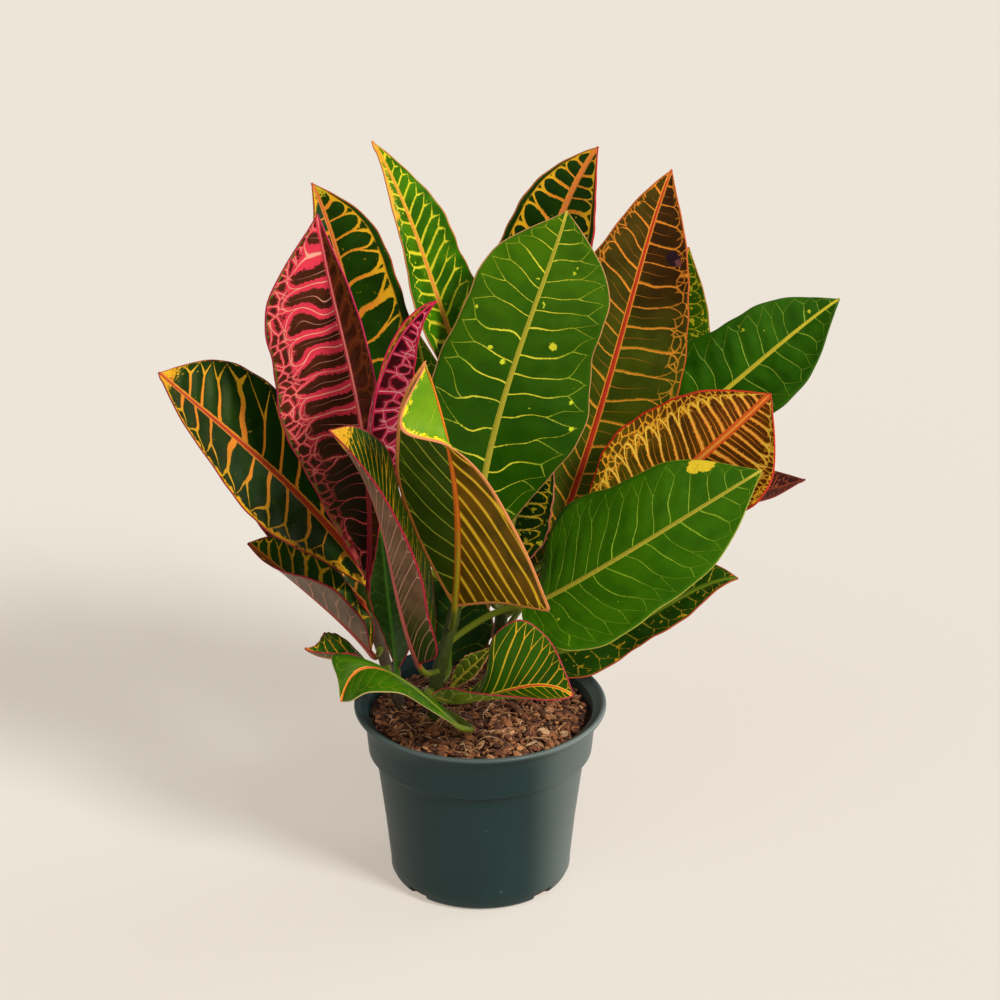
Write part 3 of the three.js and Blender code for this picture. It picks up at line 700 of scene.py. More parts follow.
def leaf_blade(bm, leaf, layers):
    """The thin blade, quilted between its side veins, with its measures in two UV layers."""
    start = len(bm.faces)
    made = bmesh.ops.create_grid(
        bm, x_segments=BLADE["across"], y_segments=BLADE["along"], size=1)["verts"]
    t = np.array([vert.co.x for vert in made])
    row = (np.array([vert.co.y for vert in made]) + 1) / 2
    s = 0.3 * (1 - np.cos(np.pi * row)) + 0.4 * row
    place, width = blade(leaf, s, t)
    step = 0.004
    ahead, behind = (blade(leaf, np.clip(s + d, 0, 1), t)[0] for d in (step, -step))
    right, left = (blade(leaf, s, np.clip(t + d, -1, 1))[0] for d in (2 * step, -2 * step))
    normal = unit(np.cross(right - left, ahead - behind))
    length = blade_length(leaf)
    phase = vein_phase(leaf, t, np.abs(t) * width, s * length)
    puff = (1 - np.cos(2 * np.pi * phase)) / 2 * np.sin(np.pi * np.abs(t)) * np.sin(np.pi * s)
    place = place + normal * (leaf["quilt"] * puff)[:, None]
    for vert, spot, side, share, half in zip(made, place, t, s, width):
        vert.co = Vector(spot) * MM
        layers["seen"][vert] = (side * half, share * length, share, (1 - abs(side)) * half)
    bm.faces.ensure_lookup_table()
    upper = bm.faces[start:]
    write_measures(upper, layers)
    bm.normal_update()
    around = list({edge for face in upper for edge in face.edges})
    solid = bmesh.ops.solidify(bm, geom=upper + around + made, thickness=BLADE["thickness"] * MM)
    for item in solid["geom"]:
        if isinstance(item, bmesh.types.BMFace):
            item.material_index = 1


def leaf_stalk(bm, leaf, layers):
    """The stalk from the stem to the blade, and on along the blade as a tapering midrib."""
    stem = STEMS[leaf["stem"]]
    start = stem_axis(stem, np.array([leaf["joins"]]))[0]
    base, along = (v[0] for v in midrib(leaf, np.array([0.0])))
    bow = base - along * STALK["bow"] * np.linalg.norm(base - start)
    rows, length = STALK["along"], blade_length(leaf)
    share = np.linspace(0, 1, rows, endpoint=False)[:, None]
    stalk = (1 - share) ** 2 * start + 2 * share * (1 - share) * bow + share ** 2 * base
    s = np.linspace(0, STALK["end"], 2 * rows)
    point, up, aside = blade_frame(leaf, s)
    path = np.vstack([stalk, point])
    heading = unit(np.gradient(path, axis=0))
    side = unit(aside[0] - heading * (heading @ aside[0])[:, None])
    side[rows:] = aside
    top = np.cross(side, heading)
    stalk_length = np.linalg.norm(np.diff(stalk, axis=0), axis=1).sum()
    y = np.concatenate([(share[:, 0] - 1) * stalk_length, s * length])
    taper = np.concatenate([np.full(rows, 1.0), (1 - s) ** 0.8 * 0.85 + 0.15])
    widening = np.clip(1 - (y + stalk_length) / STALK["flare_length"], 0, 1) ** 2
    flare = 1 + STALK["flare"] * widening
    radius = STALK["radius"] * leaf["stout"] * taper * flare
    flat = np.clip(y / 8, 0, 1)
    made = bmesh.ops.create_grid(
        bm, x_segments=STALK["around"], y_segments=len(path) - 1, size=1)["verts"]
    faces = {face for vert in made for face in vert.link_faces}
    for face in faces:
        face.material_index = int(sum(vert.co.x for vert in face.verts) > 0)
    for vert in made:
        row = round((vert.co.y + 1) / 2 * (len(path) - 1))
        turn = (vert.co.x + 1) * math.pi
        size = radius[row] * (0.001 if row in (0, len(path) - 1) else 1.0)
        rise = math.sin(turn) * (1 - 0.6 * flat[row] if math.sin(turn) > 0 else 1.0)
        spot = path[row] + size * (math.cos(turn) * side[row] + rise * top[row])
        vert.co = Vector(spot) * MM
        layers["seen"][vert] = (0.0, y[row], max(0.0, y[row] / length), 20.0)
    write_measures(faces, layers)
    bmesh.ops.remove_doubles(bm, verts=made, dist=WELD)


PLAIN = dict(
    vein=0.3, rag=0.15, taper=0.5, fork=(0.6, 0.9), arch=True, arms=0.6, stray=0.9, minor=0.0,
    core=0.0, halo=0.0, halo_rag=0.8, net=0.0, net_size=5.0, net_width=0.25,
    net_from=(0.55, 0.75), net_halo=0.15, spots=0.0, spot_scale=0.3, band=[0.0, 0.0],
    band_from=(-0.2, -0.1), tip=2.0, rib=1.2, rib_line=0.0, rib_halo=0.4, margin=0.35,
    gloss=0.38, relief=1.0, blots=(),
)
SOFTNESS = 0.12
FORK_SPREAD = 0.24
WIDTH_SPREAD = 0.7
STALK_GREEN = "#66711f"
LEAF_RELIEF = 0.4
LEAF_SHEEN = dict(Specular_IOR_Level=0.14, Specular_Tint=(0.9, 1.0, 0.45, 1.0))


def leaf_skin(name, leaf, seed):
    """Paints a leaf by its own measures: how far from midrib, margin and side veins a spot is."""
    paint = Paint(name)
    x, y = paint.measures("Blade")
    share, edge = paint.measures("Edge")
    spot = paint.vector(x, y, seed * 7.3)
    drift = paint.grain(spot, 0.045, 1) - 0.5
    broad = paint.grain(spot, 0.09, 2)
    ragged = paint.grain(spot, 0.8, 3, 0.6) - 0.5
    fine = paint.grain(spot, 2.6, 2) - 0.5
    across = x.size()
    right = x.above(0.0)
    half_width = across + edge
    out = across / half_width

    def tint(value):
        """A colour, a list of one for each half, or a tuple for one that changes along."""
        if isinstance(value, list):
            return paint.blend(right, tint(value[0]), tint(value[1]))
        if isinstance(value, tuple):
            low, high, start, end = value
            return paint.blend((share + drift * 0.3).rise(start, end), tint(low), tint(high))
        return value

    def along(value):
        """The same for a number."""
        if isinstance(value, list):
            return value[0] + right * (value[1] - value[0])
        if isinstance(value, tuple):
            low, high, start, end = value
            return low + share.rise(start, end) * (high - low)
        return value

    def within(distance, size):
        """A mask that is 1 where the distance is less than the size."""
        return 1 - (distance - size).rise(-SOFTNESS, SOFTNESS)

    def over(colour, mask, key):
        """Lays one of the leaf's colours, or the veins' where it has none, over a colour."""
        return paint.blend(mask, colour, tint(leaf.get(key, leaf["vein_colour"])))

    # How far a spot is from the nearest side vein, whose number also sets where it forks.
    pitch = leaf["pitch"]
    slope = along(leaf["slope"]) + (share - 0.5) * leaf["rise"]
    phase = (y - across * slope - across * across * leaf["bend"]) / pitch
    phase = phase + right * 0.5 + drift * leaf["stray"]
    number = (phase + 0.5).floor()
    cast = paint.vector(number + right * 31.0, seed, 0.0)
    vary = paint.node("ShaderNodeTexWhiteNoise", {"noise_dimensions": "2D"}, {"Vector": cast})
    vary = Field(paint, vary.outputs[0]) - 0.5
    start, end = leaf["fork"]
    start = start + vary * FORK_SPREAD
    turn = ((out - start) / (end - start)).most(0.0).least(0.995)
    arm, steep = turn, 1.0
    if leaf["arch"]:
        root = (1 - turn * turn).root()
        arm, steep = 1 - root, turn / root
    steep = steep / (end - start) / half_width * (0.5 * pitch)
    forked = out.above(start)
    apart = ((phase - number).size() - arm * 0.5).size() * pitch
    apart = apart / (1 + steep * steep * forked).root()
    inside = 1 - out.rise(end - 0.02, end + 0.03)
    width = (1 - out * leaf["taper"]) * (1 + vary * WIDTH_SPREAD)
    width = width * (1 - turn * (1 - leaf["arms"]))
    # Masks: the side veins, what glows round them, the thin ones between, the net and spots.
    main = within(apart + ragged * leaf["rag"], width * along(leaf["vein"])) * inside
    halo = main
    if leaf["halo"]:
        torn = (ragged + fine * 0.7) * leaf["halo_rag"]
        halo = within(apart + torn, width * along(leaf["halo"])) * inside
    if leaf["minor"]:
        between = 0.5 * pitch - (phase - number).size() * pitch
        thin = (1 - out * 1.5) * leaf["minor"]
        main = main.most(within(between.size(), thin) * thin.rise(0.0, 0.05) * 0.8)
    if leaf["net"]:
        size = leaf["net_size"]
        cell = paint.vector(across / size, phase * (pitch / size), seed * 3.1)
        cells = paint.node(
            "ShaderNodeTexVoronoi",
            {"feature": "DISTANCE_TO_EDGE"},
            {"Vector": cell, "Scale": 1.0, "Randomness": 0.9},
        )
        gap = Field(paint, cells.outputs["Distance"]) * size
        where = out.rise(*leaf["net_from"]) * leaf["net"]
        main = main.most(within(gap + ragged * leaf["rag"], leaf["net_width"]) * where)
        if leaf["halo"]:
            reach = leaf["net_width"] + leaf["net_halo"]
            halo = halo.most(within(gap + torn * 0.5, reach) * where)
    if leaf["spots"]:
        patch = paint.grain(spot, leaf["spot_scale"], 3, 0.6)
        halo = halo.most(patch.rise(0.98 - leaf["spots"], 1.02 - leaf["spots"]))

    # Colours, from the ground up to the midrib, the margin and the stalk.
    ground = paint.blend(broad.rise(0.3, 0.7), tint(leaf["ground"]), tint(leaf["deep"]))
    colour = over(over(ground, halo, "halo_colour"), main, "vein_colour")
    if "out_colour" in leaf:
        reach = (out + ragged * 0.3).rise(0.35, 0.75)
        colour = over(colour, main * reach, "out_colour")
    if leaf["core"]:
        colour = over(colour, within(apart, leaf["core"]) * inside, "core_colour")
    if any(leaf["band"]) or leaf["tip"] < 1:
        wide = along(leaf["band"]).most(0.01)
        patch = paint.grain(spot, 0.35, 4, 0.7) + share.rise(*leaf["band_from"]) - 1
        patch = (patch - edge / wide * 0.3).most(share * 3 - leaf["tip"] * 3 + 0.4 + ragged * 0.5)
        colour = over(colour, patch.rise(0.36, 0.4), "band_colour")
    for aside, ahead, size, blot_colour in leaf["blots"]:
        far = ((x - aside) * (x - aside) + (y - ahead) * (y - ahead)).root()
        blot = within(far + ragged * 2.0 + fine * 1.5, size)
        colour = paint.blend(blot, colour, blot_colour)
    rib_half = (1 - share * 0.72) * leaf["rib"]
    rib = within(across + ragged * 0.3, rib_half)
    rib_halo = within(across + ragged * 1.4 * leaf["rib_halo"], rib_half + leaf["rib_halo"])
    colour = over(over(colour, rib_halo, "rib_edge"), rib, "rib_colour")
    if leaf["rib_line"]:
        colour = over(colour, within(across, rib_half * leaf["rib_line"]), "line_colour")
    colour = over(colour, within(edge + ragged * 0.4, leaf["margin"]), "margin_colour")
    shade = (fine * 0.7 + broad * 0.3 + 0.85).least(1.0)
    colour = paint.blend(1 - shade, colour, "#000000")
    colour = paint.blend(1 - y.rise(-6.0, 1.0), colour, STALK_GREEN)

    relief = fine * 0.2 - main * (1 - rib_halo) * 0.4 + ragged * 0.15
    roughness = leaf["gloss"] + (broad - 0.5) * 0.15 + main * 0.05
    relief = relief * leaf["relief"]
    return paint.surface(colour, roughness, relief, LEAF_RELIEF * MM, **LEAF_SHEEN)


def grow(slot, kind, **own):
    """Makes a leaf of one kind, paints both its faces and puts it in place of its plain solid."""
    leaf = {**LEAF, **PLAIN, **kind, **own}
    bm = bmesh.new()
    layers = {
        "blade": bm.loops.layers.uv.new("Blade"),
        "edge": bm.loops.layers.uv.new("Edge"),
        "seen": {},
    }
    leaf_blade(bm, leaf, layers)
    leaf_stalk(bm, leaf, layers)
    for face in bm.faces:
        face.smooth = True
    name = leaf["name"].replace("leaf_", "croton_leaf_")
    piece = keep(bm, name)
    seed = sum(map(ord, name)) % 97 + 1
    piece.data.materials.append(leaf_skin(name + "_above", leaf, seed))
    under = {**leaf, "gloss": 0.5, "relief": -1.0, "blots": (), **leaf["below"]}
    piece.data.materials.append(leaf_skin(name + "_below", under, seed))
    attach(piece, "root")
    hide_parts(leaf["name"])


GREEN_BELOW = dict(
    ground="#5f7434", deep="#52682c", vein_colour="#8f9a50", margin_colour="#7f8a44", spots=0.0,
)

# The ground and deep colours run from darker near the base to lighter towards the tip: partly the leaf's own
# colour, partly painted light on the upper blade and painted shade lower down.
GREEN = dict(
    ground=("#264f02", "#406a03", 0.35, 0.8), deep=("#1c4402", "#2f5802", 0.35, 0.8), vein=0.26,
    vein_colour="#d8d03a", out_colour="#7c9a20", rag=0.5, fork=(0.64, 0.92), arch=False, arms=0.3,
    stray=1.5, spots=0.27, spot_scale=0.16, halo_colour="#c8cc30", rib=1.35, rib_colour="#d2bc44",
    rib_line=0.2, line_colour="#a4982e", rib_edge="#c0b838", rib_halo=0.15, margin=0.35,
    margin_colour="#c08a54", gloss=0.3, below=GREEN_BELOW,
)

grow(
    "leaf_green", GREEN, name="leaf_big_green", stem="front", joins=134, faces=(0.15, -0.93, 0.32),
    twist=9, midrib=[(-2, 6, 138), (6, 18, 193), (22, 28, 243), (35, 34, 282)],
    left=(20, 30, 29, 23), right=(22, 34, 30, 25), fold=(4, 11), curl=(6, 6), start=(0.19, 0.19),
    waves=(1.8, 2.6), pitch=8.5, slope=[0.3, 0.35], bend=0.0, rise=0.5, stout=1.15, quilt=0.6,
    blots=[(-11.8, 81, 0.9, "#cfd82c"), (-5, 77, 1.1, "#cfd82c"), (12.5, 89, 1.6, "#d6cf30"),
           (26.8, 70, 0.8, "#cfd82c"), (29.7, 60, 0.9, "#cfd82c")],
)

grow(
    "leaf_green", GREEN, name="leaf_broad_green", stem="front", joins=107, faces=(0.1, -0.5, 0.85),
    twist=-26, midrib=[(18, -14, 130), (38, -20, 143), (73, -24, 168), (111, -26, 195)],
    left=(24, 36, 30, 22), right=(26, 36, 31, 22), fold=(-3, 0), curl=(5, 12), start=(0.4, 0.75),
    waves=(1.2, 2.2), pitch=7.2, slope=[0.35, 0.45], bend=0.006, stout=1.1, quilt=0.6,
    ground="#3a6a04", deep="#2d5a03", vein=0.16, vein_colour="#8ab02c", out_colour="#568814",
    arms=0.1, spots=0.24, margin=0.2, margin_colour="#9a9a34",
    blots=[(-16.5, 95, 2.8, "#e6c42c"), (-15.5, 99, 3.8, "#e6c42c"), (14, 28, 0.6, "#b8c030")],
)

grow(
    "leaf_green", GREEN, name="leaf_right_green", stem="back", joins=136,
    faces=(-0.03, -0.78, 0.62), twist=-1,
    midrib=[(42, 36, 157), (84, 34, 190), (117, 28, 223), (144, 22, 249)], left=(17, 26, 22, 15),
    right=(17, 21, 24, 19), fold=(8, 13), curl=(10, 20), start=(0.2, 0.55), waves=(1.5, 2.5),
    pitch=9.0, slope=[0.45, 0.45], quilt=0.9,
    ground="#34680a", deep="#245204", vein=0.22, vein_colour="#96b438", out_colour="#5c8a24",
    rib_colour="#d6c234", rib_line=0.0, margin_colour="#3c5c18", gloss=0.24,
)

grow(
    "leaf_green", GREEN, name="leaf_back_middle", stem="back", joins=90, faces=(0, -0.75, 0.7),
    twist=5, midrib=[(3, 42, 100), (-6, 66, 124), (-17, 90, 158), (-28, 108, 204)],
    left=(15, 24, 22, 13), right=(15, 24, 22, 13), curl=(5, 10), start=(0.2, 0.55),
    waves=(1.2, 2.5), pitch=9.0, slope=[0.4, 0.4],
)

grow(
    "leaf_green", GREEN, name="leaf_back_tall", stem="back", joins=132, faces=(0, -0.92, 0.4),
    twist=5, midrib=[(14, 48, 140), (16, 70, 178), (14, 86, 214), (8, 96, 244)],
    left=(14, 21, 20, 12), right=(14, 21, 20, 12), curl=(5, 10), start=(0.6, 0.95),
    waves=(1.2, 2.5), pitch=9.0, slope=[0.4, 0.4],
)


# Bright leaves: young blades of fresh green with yellow veins, some patched with yellow along
# the margin. Two of them lie low, where they twist over the rim of the pot.

BRIGHT = dict(
    ground="#44700a", deep="#335c08", vein=0.5, vein_colour="#dccb24", rag=0.7, fork=(0.62, 0.85),
    taper=0.45, spots=0.26, halo_colour="#d3c324", rib=1.2, rib_colour="#e0923e",
    rib_edge="#e4bc2c", rib_halo=0.5, margin=0.35, margin_colour="#a8702c", below=GREEN_BELOW,
)

grow(
    "leaf_bright", BRIGHT, name="leaf_top_left", stem="back", joins=146, faces=(0.05, -0.81, 0.58),
    twist=-18, midrib=[(4, 34, 183), (-14, 40, 232), (-27, 45, 271), (-43, 50, 306)],
    left=(13, 20, 18, 12), right=(15, 17, 15, 10), fold=(57, 8), curl=(0, 10), start=(0, 0.1),
    waves=(1.6, 3), pitch=7.0, slope=[0.5, 1.25], bend=-0.008, quilt=0.8,
    band=[9.0, 0.0], band_from=(0.5, 0.75), band_colour="#eaa81e", margin_colour="#c9783c",
    arch=False, arms=0.0, ground="#447e08", deep="#275804", vein=0.6, vein_colour="#e8d934",
    halo=0.95, halo_colour="#a9bc18", halo_rag=1.2, spots=0.32,
)

grow(
    "leaf_bright", BRIGHT, name="leaf_bronze_behind", stem="back", joins=118,
    faces=(-0.19, -0.9, 0.39), midrib=[(34, 44, 132), (58, 54, 182), (74, 60, 226), (86, 62, 257)],
    left=(13, 20, 20, 14), right=(17, 27, 27, 18), fold=(15, 15), waves=(1, 3), slope=[0.6, 0.6],
    spots=0.42, vein=0.4,
)

grow(
    "leaf_bright", BRIGHT, name="leaf_low_boat", stem="front", joins=86, faces=(0, -0.3, 0.95),
    midrib=[(-20, -20, 93), (-2, -38, 100), (18, -48, 111), (37, -56, 111)],
    left_margin=[(-7, -26, 98), (2, -36, 110), (5, -42, 129), (16, -44, 138), (27, -46, 131),
                 (33, -52, 121)],
    right_margin=[(-13, -29, 101), (-3, -48, 109), (6, -56, 112), (16, -60, 113), (25, -62, 113),
                  (32, -60, 112)],
    bulge=-2, pitch=4.6, slope=[0.2, 0.4], quilt=0.25,
    ground="#2c5604", deep="#204603", vein=0.3, rag=0.2, taper=0.2, fork=(0.75, 1.0), arch=False,
    arms=0.3, stray=1.2, vein_colour=("#c8b42c", "#e0a42a", 0.3, 0.7), spots=0.2, rib=0.8,
    rib_colour=("#6b7a20", "#d0502c", 0.4, 0.7), margin_colour="#a82c3c",
    below=dict(GREEN_BELOW, ground="#6b7a1c", deep="#4c6414", margin_colour="#a82c3c"),
)

grow(
    "leaf_bright", BRIGHT, name="leaf_low_left_turned", stem="front", joins=80,
    faces=(0, -0.3, 0.95),
    midrib=[(-7, -40, 88), (-21, -40, 101), (-41, -38, 114), (-55, -48, 104)],
    left_margin=[(-13, -44, 94), (-22, -47, 102), (-30, -50, 109), (-38, -52, 111),
                 (-45, -53, 111), (-51, -52, 107)],
    right_margin=[(-13, -34, 92), (-23, -30, 99), (-36, -27, 105), (-51, -30, 115),
                  (-59, -36, 118), (-56, -44, 111)],
    bulge=1.5, pitch=6.0, slope=[0.4, 0.4], quilt=0.25,
    ground="#3f6c06", deep="#2d5604", vein=0.1, vein_colour="#5c7c1c", arms=0.0, rag=0.15, rib=0.9,
    rib_colour=("#6a7a24", "#dd5a34", 0.55, 0.66), rib_halo=0.6,
    rib_edge=("#5c7420", "#e09a34", 0.6, 0.72), margin=0.25, margin_colour="#b9a468", spots=0.0,
    below=dict(GREEN_BELOW, ground="#7a8434", deep="#66742a"),
)


# Dark leaves: nearly black green, with broad orange veins edged in yellow that keep a torn
# outline and fork before the red margin.

DARK_BELOW = dict(
    ground="#5f5a3c", deep="#524c30", vein=0.35, vein_colour="#96805a", out_colour="#96805a",
    halo=0.0, spots=0.0, band=[0.0, 0.0], tip=2.0, rib_colour="#a8645a", rib_edge="#8a6a4c",
)

DARK = dict(
    ground="#173604", deep="#0d2804", vein=0.75, vein_colour="#e08626", out_colour="#e0a81e",
    rag=0.8, fork=(0.62, 0.95), arch=False, arms=0.0, taper=0.35, halo=0.8, halo_rag=1.3,
    halo_colour="#d4a81e", spots=0.28, spot_scale=0.4, rib=1.5, rib_colour="#ae3a1e",
    rib_edge="#d2812c", rib_halo=0.7, margin=0.45, margin_colour="#94282c", gloss=0.34,
    below=DARK_BELOW,
)

grow(
    "leaf_dark", DARK, name="leaf_far_left", stem="left", joins=103, faces=(0.01, -0.56, 0.83),
    twist=-26, midrib=[(-41, 16, 120), (-71, 10, 165), (-103, 4, 201), (-127, 0, 226)],
    left=(15, 30, 33, 23), right=(15, 24, 26, 22), fold=(22, 13), curl=(10, 10), start=(0.2, 0.55),
    pitch=10.8, slope=[-0.15, 0.8], bend=0.002, quilt=0.7,
    band=[4.5, 1.2], band_colour="#e0a41e", tip=0.93, vein=(0.55, 1.1, 0.2, 0.6), stray=1.1,
)

grow(
    "leaf_dark", DARK, name="leaf_left_dark", stem="left", joins=127, faces=(0.36, -0.83, 0.43),
    twist=13, midrib=[(-35, 24, 161), (-47, 26, 219), (-56, 28, 262), (-66, 26, 296)],
    left=(13, 17, 18, 10), right=(13, 23, 20, 16), fold=(32, 19), start=(0.2, 0.55),
    waves=(1.5, 2.5), pitch=12.0, slope=[0.0, 0.75], bend=-0.006,
    arch=True, arms=1.0, stray=2.0, vein=0.85, halo=1.05, fork=(0.42, 0.84), taper=0.2, rib=1.2,
    tip=0.95, rib_colour="#dd8444", rib_line=0.25, line_colour="#c05c34", rib_halo=0.5,
    ground=["#1f4222", "#1b3e04"], deep=["#173616", "#122c03"], band=[2.0, 0.0],
    band_colour="#c9b424", margin_colour="#a84a24",
)

grow(
    "leaf_dark", DARK, name="leaf_top_middle", stem="back", joins=142, faces=(-0.22, -0.92, 0.33),
    twist=2, midrib=[(17, 46, 165), (22, 54, 226), (33, 60, 270), (48, 62, 300)],
    left=(17, 23, 20, 13), right=(15, 20, 20, 13), fold=(14, 25), waves=(1, 3), pitch=9.0,
    bend=0.0,
    arch=True, arms=0.9, stray=1.5, fork=(0.5, 0.85), taper=0.2, rib_colour="#e07a3a",
    margin_colour=["#a8602c", "#c22c34"], margin=0.6,
)

grow(
    "leaf_dark", DARK, name="leaf_low_right", stem="back", joins=82, faces=(-0.01, -0.5, 0.87),
    twist=9, midrib=[(11, 8, 97), (50, 8, 104), (81, 6, 123), (106, 4, 134)],
    left=(17, 22, 21, 14), right=(17, 16, 14, 9), fold=(8, 13), curl=(0, 10), start=(0.3, 0.65),
    waves=(1.5, 2.5),
    ground="#27500a", deep="#1c4006", vein=0.2, halo=0.3, spots=0.36, tip=0.97,
    band_colour="#d8702c", spot_scale=0.3, vein_colour="#8f9a2c", out_colour="#d8a02a", taper=0.6,
    rib_colour="#6f8420", rib_edge="#4a6414", margin_colour="#a84a2c",
)

grow(
    "leaf_dark", DARK, name="leaf_inner_spotted", stem="back", joins=110,
    faces=(-0.41, -0.86, 0.3), midrib=[(6, 15, 122), (12, 18, 146), (19, 21, 167), (31, 24, 184)],
    left=(10, 14, 13, 9), right=(10, 17, 17, 11), fold=(12, 14), pitch=6.0, slope=[0.4, 0.4],
    arch=True, arms=0.8, fork=(0.4, 0.8), vein=0.4, vein_colour="#c9a83a", halo=0.5,
    halo_colour="#b7ac28", spots=0.38, rib_colour="#8f8a34", rib_edge="#4c641c",
    margin_colour="#b0604c",
)

grow(
    "leaf_dark", DARK, name="leaf_left_strip", stem="left", joins=80, faces=(-0.4, -0.9, 0.3),
    midrib=[(-34, -8, 97), (-36, -14, 124), (-38, -14, 146), (-40, -10, 167)], left=(4, 7, 7, 3),
    right=(9, 10, 8, 4), fold=(20, 20), waves=(0.5, 2.5), pitch=7.0, slope=[0.8, 0.8], bend=0.01,
    ground="#1d4309", deep="#143806", vein=0.08, vein_colour="#3a6420", out_colour="#4c7a2c",
    halo=0.0, spots=0.2, halo_colour="#a88a24", rib=0.5, rib_colour="#3f6a1c", rib_edge="#2c540e",
    margin_colour="#a01c34",
)

grow(
    "leaf_dark", DARK, name="leaf_low_left_small", stem="left", joins=90, faces=(0, -0.5, 0.9),
    midrib=[(-41, -12, 97), (-53, -22, 109), (-62, -28, 114), (-70, -30, 119)], left=(4, 6, 6, 4),
    right=(7, 13, 12, 6), fold=(75, 5), waves=(0.5, 2.5), pitch=7.0, slope=[0.6, 0.6], bend=0.01,
    ground="#2a5209", vein=0.3, halo=0.4, rib=0.6, rib_colour="#c07a2c",
)

grow(
    "leaf_dark", DARK, name="leaf_inner_dark", stem="front", joins=90, faces=(-0.1, -0.85, 0.5),
    midrib=[(-13, 8, 92), (-12, 11, 107), (-10, 13, 122), (-8, 14, 135)], left=(7, 12, 15, 12),
    right=(15, 19, 17, 9), curl=(5, 10), start=(0.6, 0.95), waves=(0.6, 2.5), pitch=7.0,
    slope=[0.6, 0.6], bend=0.01,
    ground="#16330a", deep="#0f2806", vein=0.1, vein_colour="#3c5c1c", out_colour="#4a6a24",
    halo=0.0, spots=0.18, rib=0.8, rib_colour="#4f6a20", rib_edge="#2a4a10",
    margin_colour="#6a3424",
)

grow(
    "leaf_dark", DARK, name="leaf_back_far_left", stem="left", joins=92, faces=(0.3, -0.5, 0.8),
    midrib=[(-44, 28, 104), (-70, 42, 130), (-92, 54, 160), (-112, 60, 190)],
    left=(12, 18, 18, 11), right=(12, 18, 18, 11), curl=(5, 10), start=(0.2, 0.55),
    waves=(1.2, 2.5), bend=0.01,
)


# Bronze leaves: brown olive with a red orange midrib and fine orange side veins that loop
# together near the margin.

BRONZE = dict(
    ground=("#48520a", ["#4c3a0a", "#432409"], 0.4, 0.75),
    deep=("#384406", ["#3a2c07", "#331a06"], 0.4, 0.75), vein=0.36, vein_colour="#f09030", rag=0.3,
    fork=(0.62, 0.9), taper=0.45, minor=0.12, halo=0.6, halo_rag=0.9,
    halo_colour=("#b89c1c", "#c0701c", 0.4, 0.75), net=0.8, net_size=5.4, net_width=0.13,
    net_from=(0.7, 0.8), rib=1.3, rib_colour="#e0703a", rib_line=0.3, line_colour="#b8321c",
    rib_edge="#e08a2c", rib_halo=0.4, margin=0.4, margin_colour="#c05a24", below=DARK_BELOW,
)

grow(
    "leaf_bronze", BRONZE, name="leaf_bronze", stem="back", joins=126, faces=(-0.01, -0.94, 0.34),
    twist=14, midrib=[(29, 26, 135), (49, 34, 195), (64, 40, 252), (77, 44, 296)],
    left=(16, 23, 25, 14), right=(18, 29, 27, 16), fold=(12, 15), curl=(10, 15), start=(0.5, 0.85),
    waves=(1.2, 3), pitch=9.6, slope=[0.65, 0.2], bend=0.003,
    blots=[(13, 126, 3.4, "#2c1622"), (15.5, 125, 1.6, "#74444a")],
)

grow(
    "leaf_bronze", BRONZE, name="leaf_back_right", stem="back", joins=96, faces=(-0.3, -0.6, 0.75),
    twist=5, midrib=[(20, 46, 105), (41, 68, 129), (67, 90, 156), (92, 104, 178)],
    left=(14, 22, 20, 12), right=(14, 22, 20, 12), curl=(5, 10), start=(0.5, 0.85),
    waves=(1.2, 2.5),
)


# Orange leaf: one blade with a dense net of orange and yellow veins over brown olive cells,
# inside a red margin, held out to the right on a long stalk.

grow(
    "leaf_orange", PLAIN, name="leaf_orange_net", stem="front", joins=122,
    faces=(0.14, -0.71, 0.68), twist=-12,
    midrib=[(34, 13, 140), (62, 9, 161), (92, 1, 192), (115, -8, 220)], left=(14, 27, 29, 21),
    right=(14, 25, 30, 28), fold=(11, 8), curl=(20, 20), waves=(1.2, 2.5), pitch=5.4,
    slope=[0.35, 0.35], quilt=0.3,
    ground=("#5a5408", "#6a3808", 0.3, 0.8), deep=("#3c3c04", "#482404", 0.3, 0.8), vein=0.62,
    vein_colour="#f4902c", out_colour="#eab82a", rag=0.35, fork=(0.5, 0.8), taper=0.2, arms=0.9,
    stray=1.3, minor=0.3, core=0.16, core_colour="#fad45c", halo=0.8, halo_rag=1.6,
    halo_colour="#e2801c", net=0.8, net_size=3.0, net_width=0.16, net_from=(0.6, 0.75),
    rib_colour="#f0943a", rib_edge="#dd5a22", rib_halo=1.0, margin=0.7, margin_colour="#c2331f",
    below=DARK_BELOW,
)


# Maroon leaves: old blades that have turned a dull purple brown, flecked with red. One shows
# its edge at the right, and one stands behind the plant.

MAROON = dict(
    ground="#5a2420", deep="#43181a", vein=0.3, vein_colour="#a84a2c", rag=0.8, spots=0.42,
    spot_scale=0.5, halo_colour="#b05a3c", rib=1.0, rib_colour="#8a3a30", margin=0.4,
    margin_colour="#7a2028", below=DARK_BELOW,
)

grow(
    "leaf_maroon", MAROON, name="leaf_maroon", stem="back", joins=104, faces=(0.1, -0.11, 0.99),
    twist=-1, midrib=[(36, 38, 120), (74, 44, 141), (110, 46, 152), (136, 44, 161)],
    left=(12, 18, 18, 12), right=(12, 18, 20, 15), fold=(12, 19), bend=0.008,
)

grow(
    "leaf_maroon", MAROON, name="leaf_back_left", stem="left", joins=120, faces=(0.3, -0.8, 0.5),
    twist=-5, midrib=[(-34, 36, 130), (-54, 58, 177), (-65, 74, 201), (-74, 84, 226)],
    left=(14, 21, 20, 12), right=(14, 21, 20, 12), curl=(5, 10), start=(0.2, 0.55),
    waves=(1.2, 2.5), bend=0.008,
)
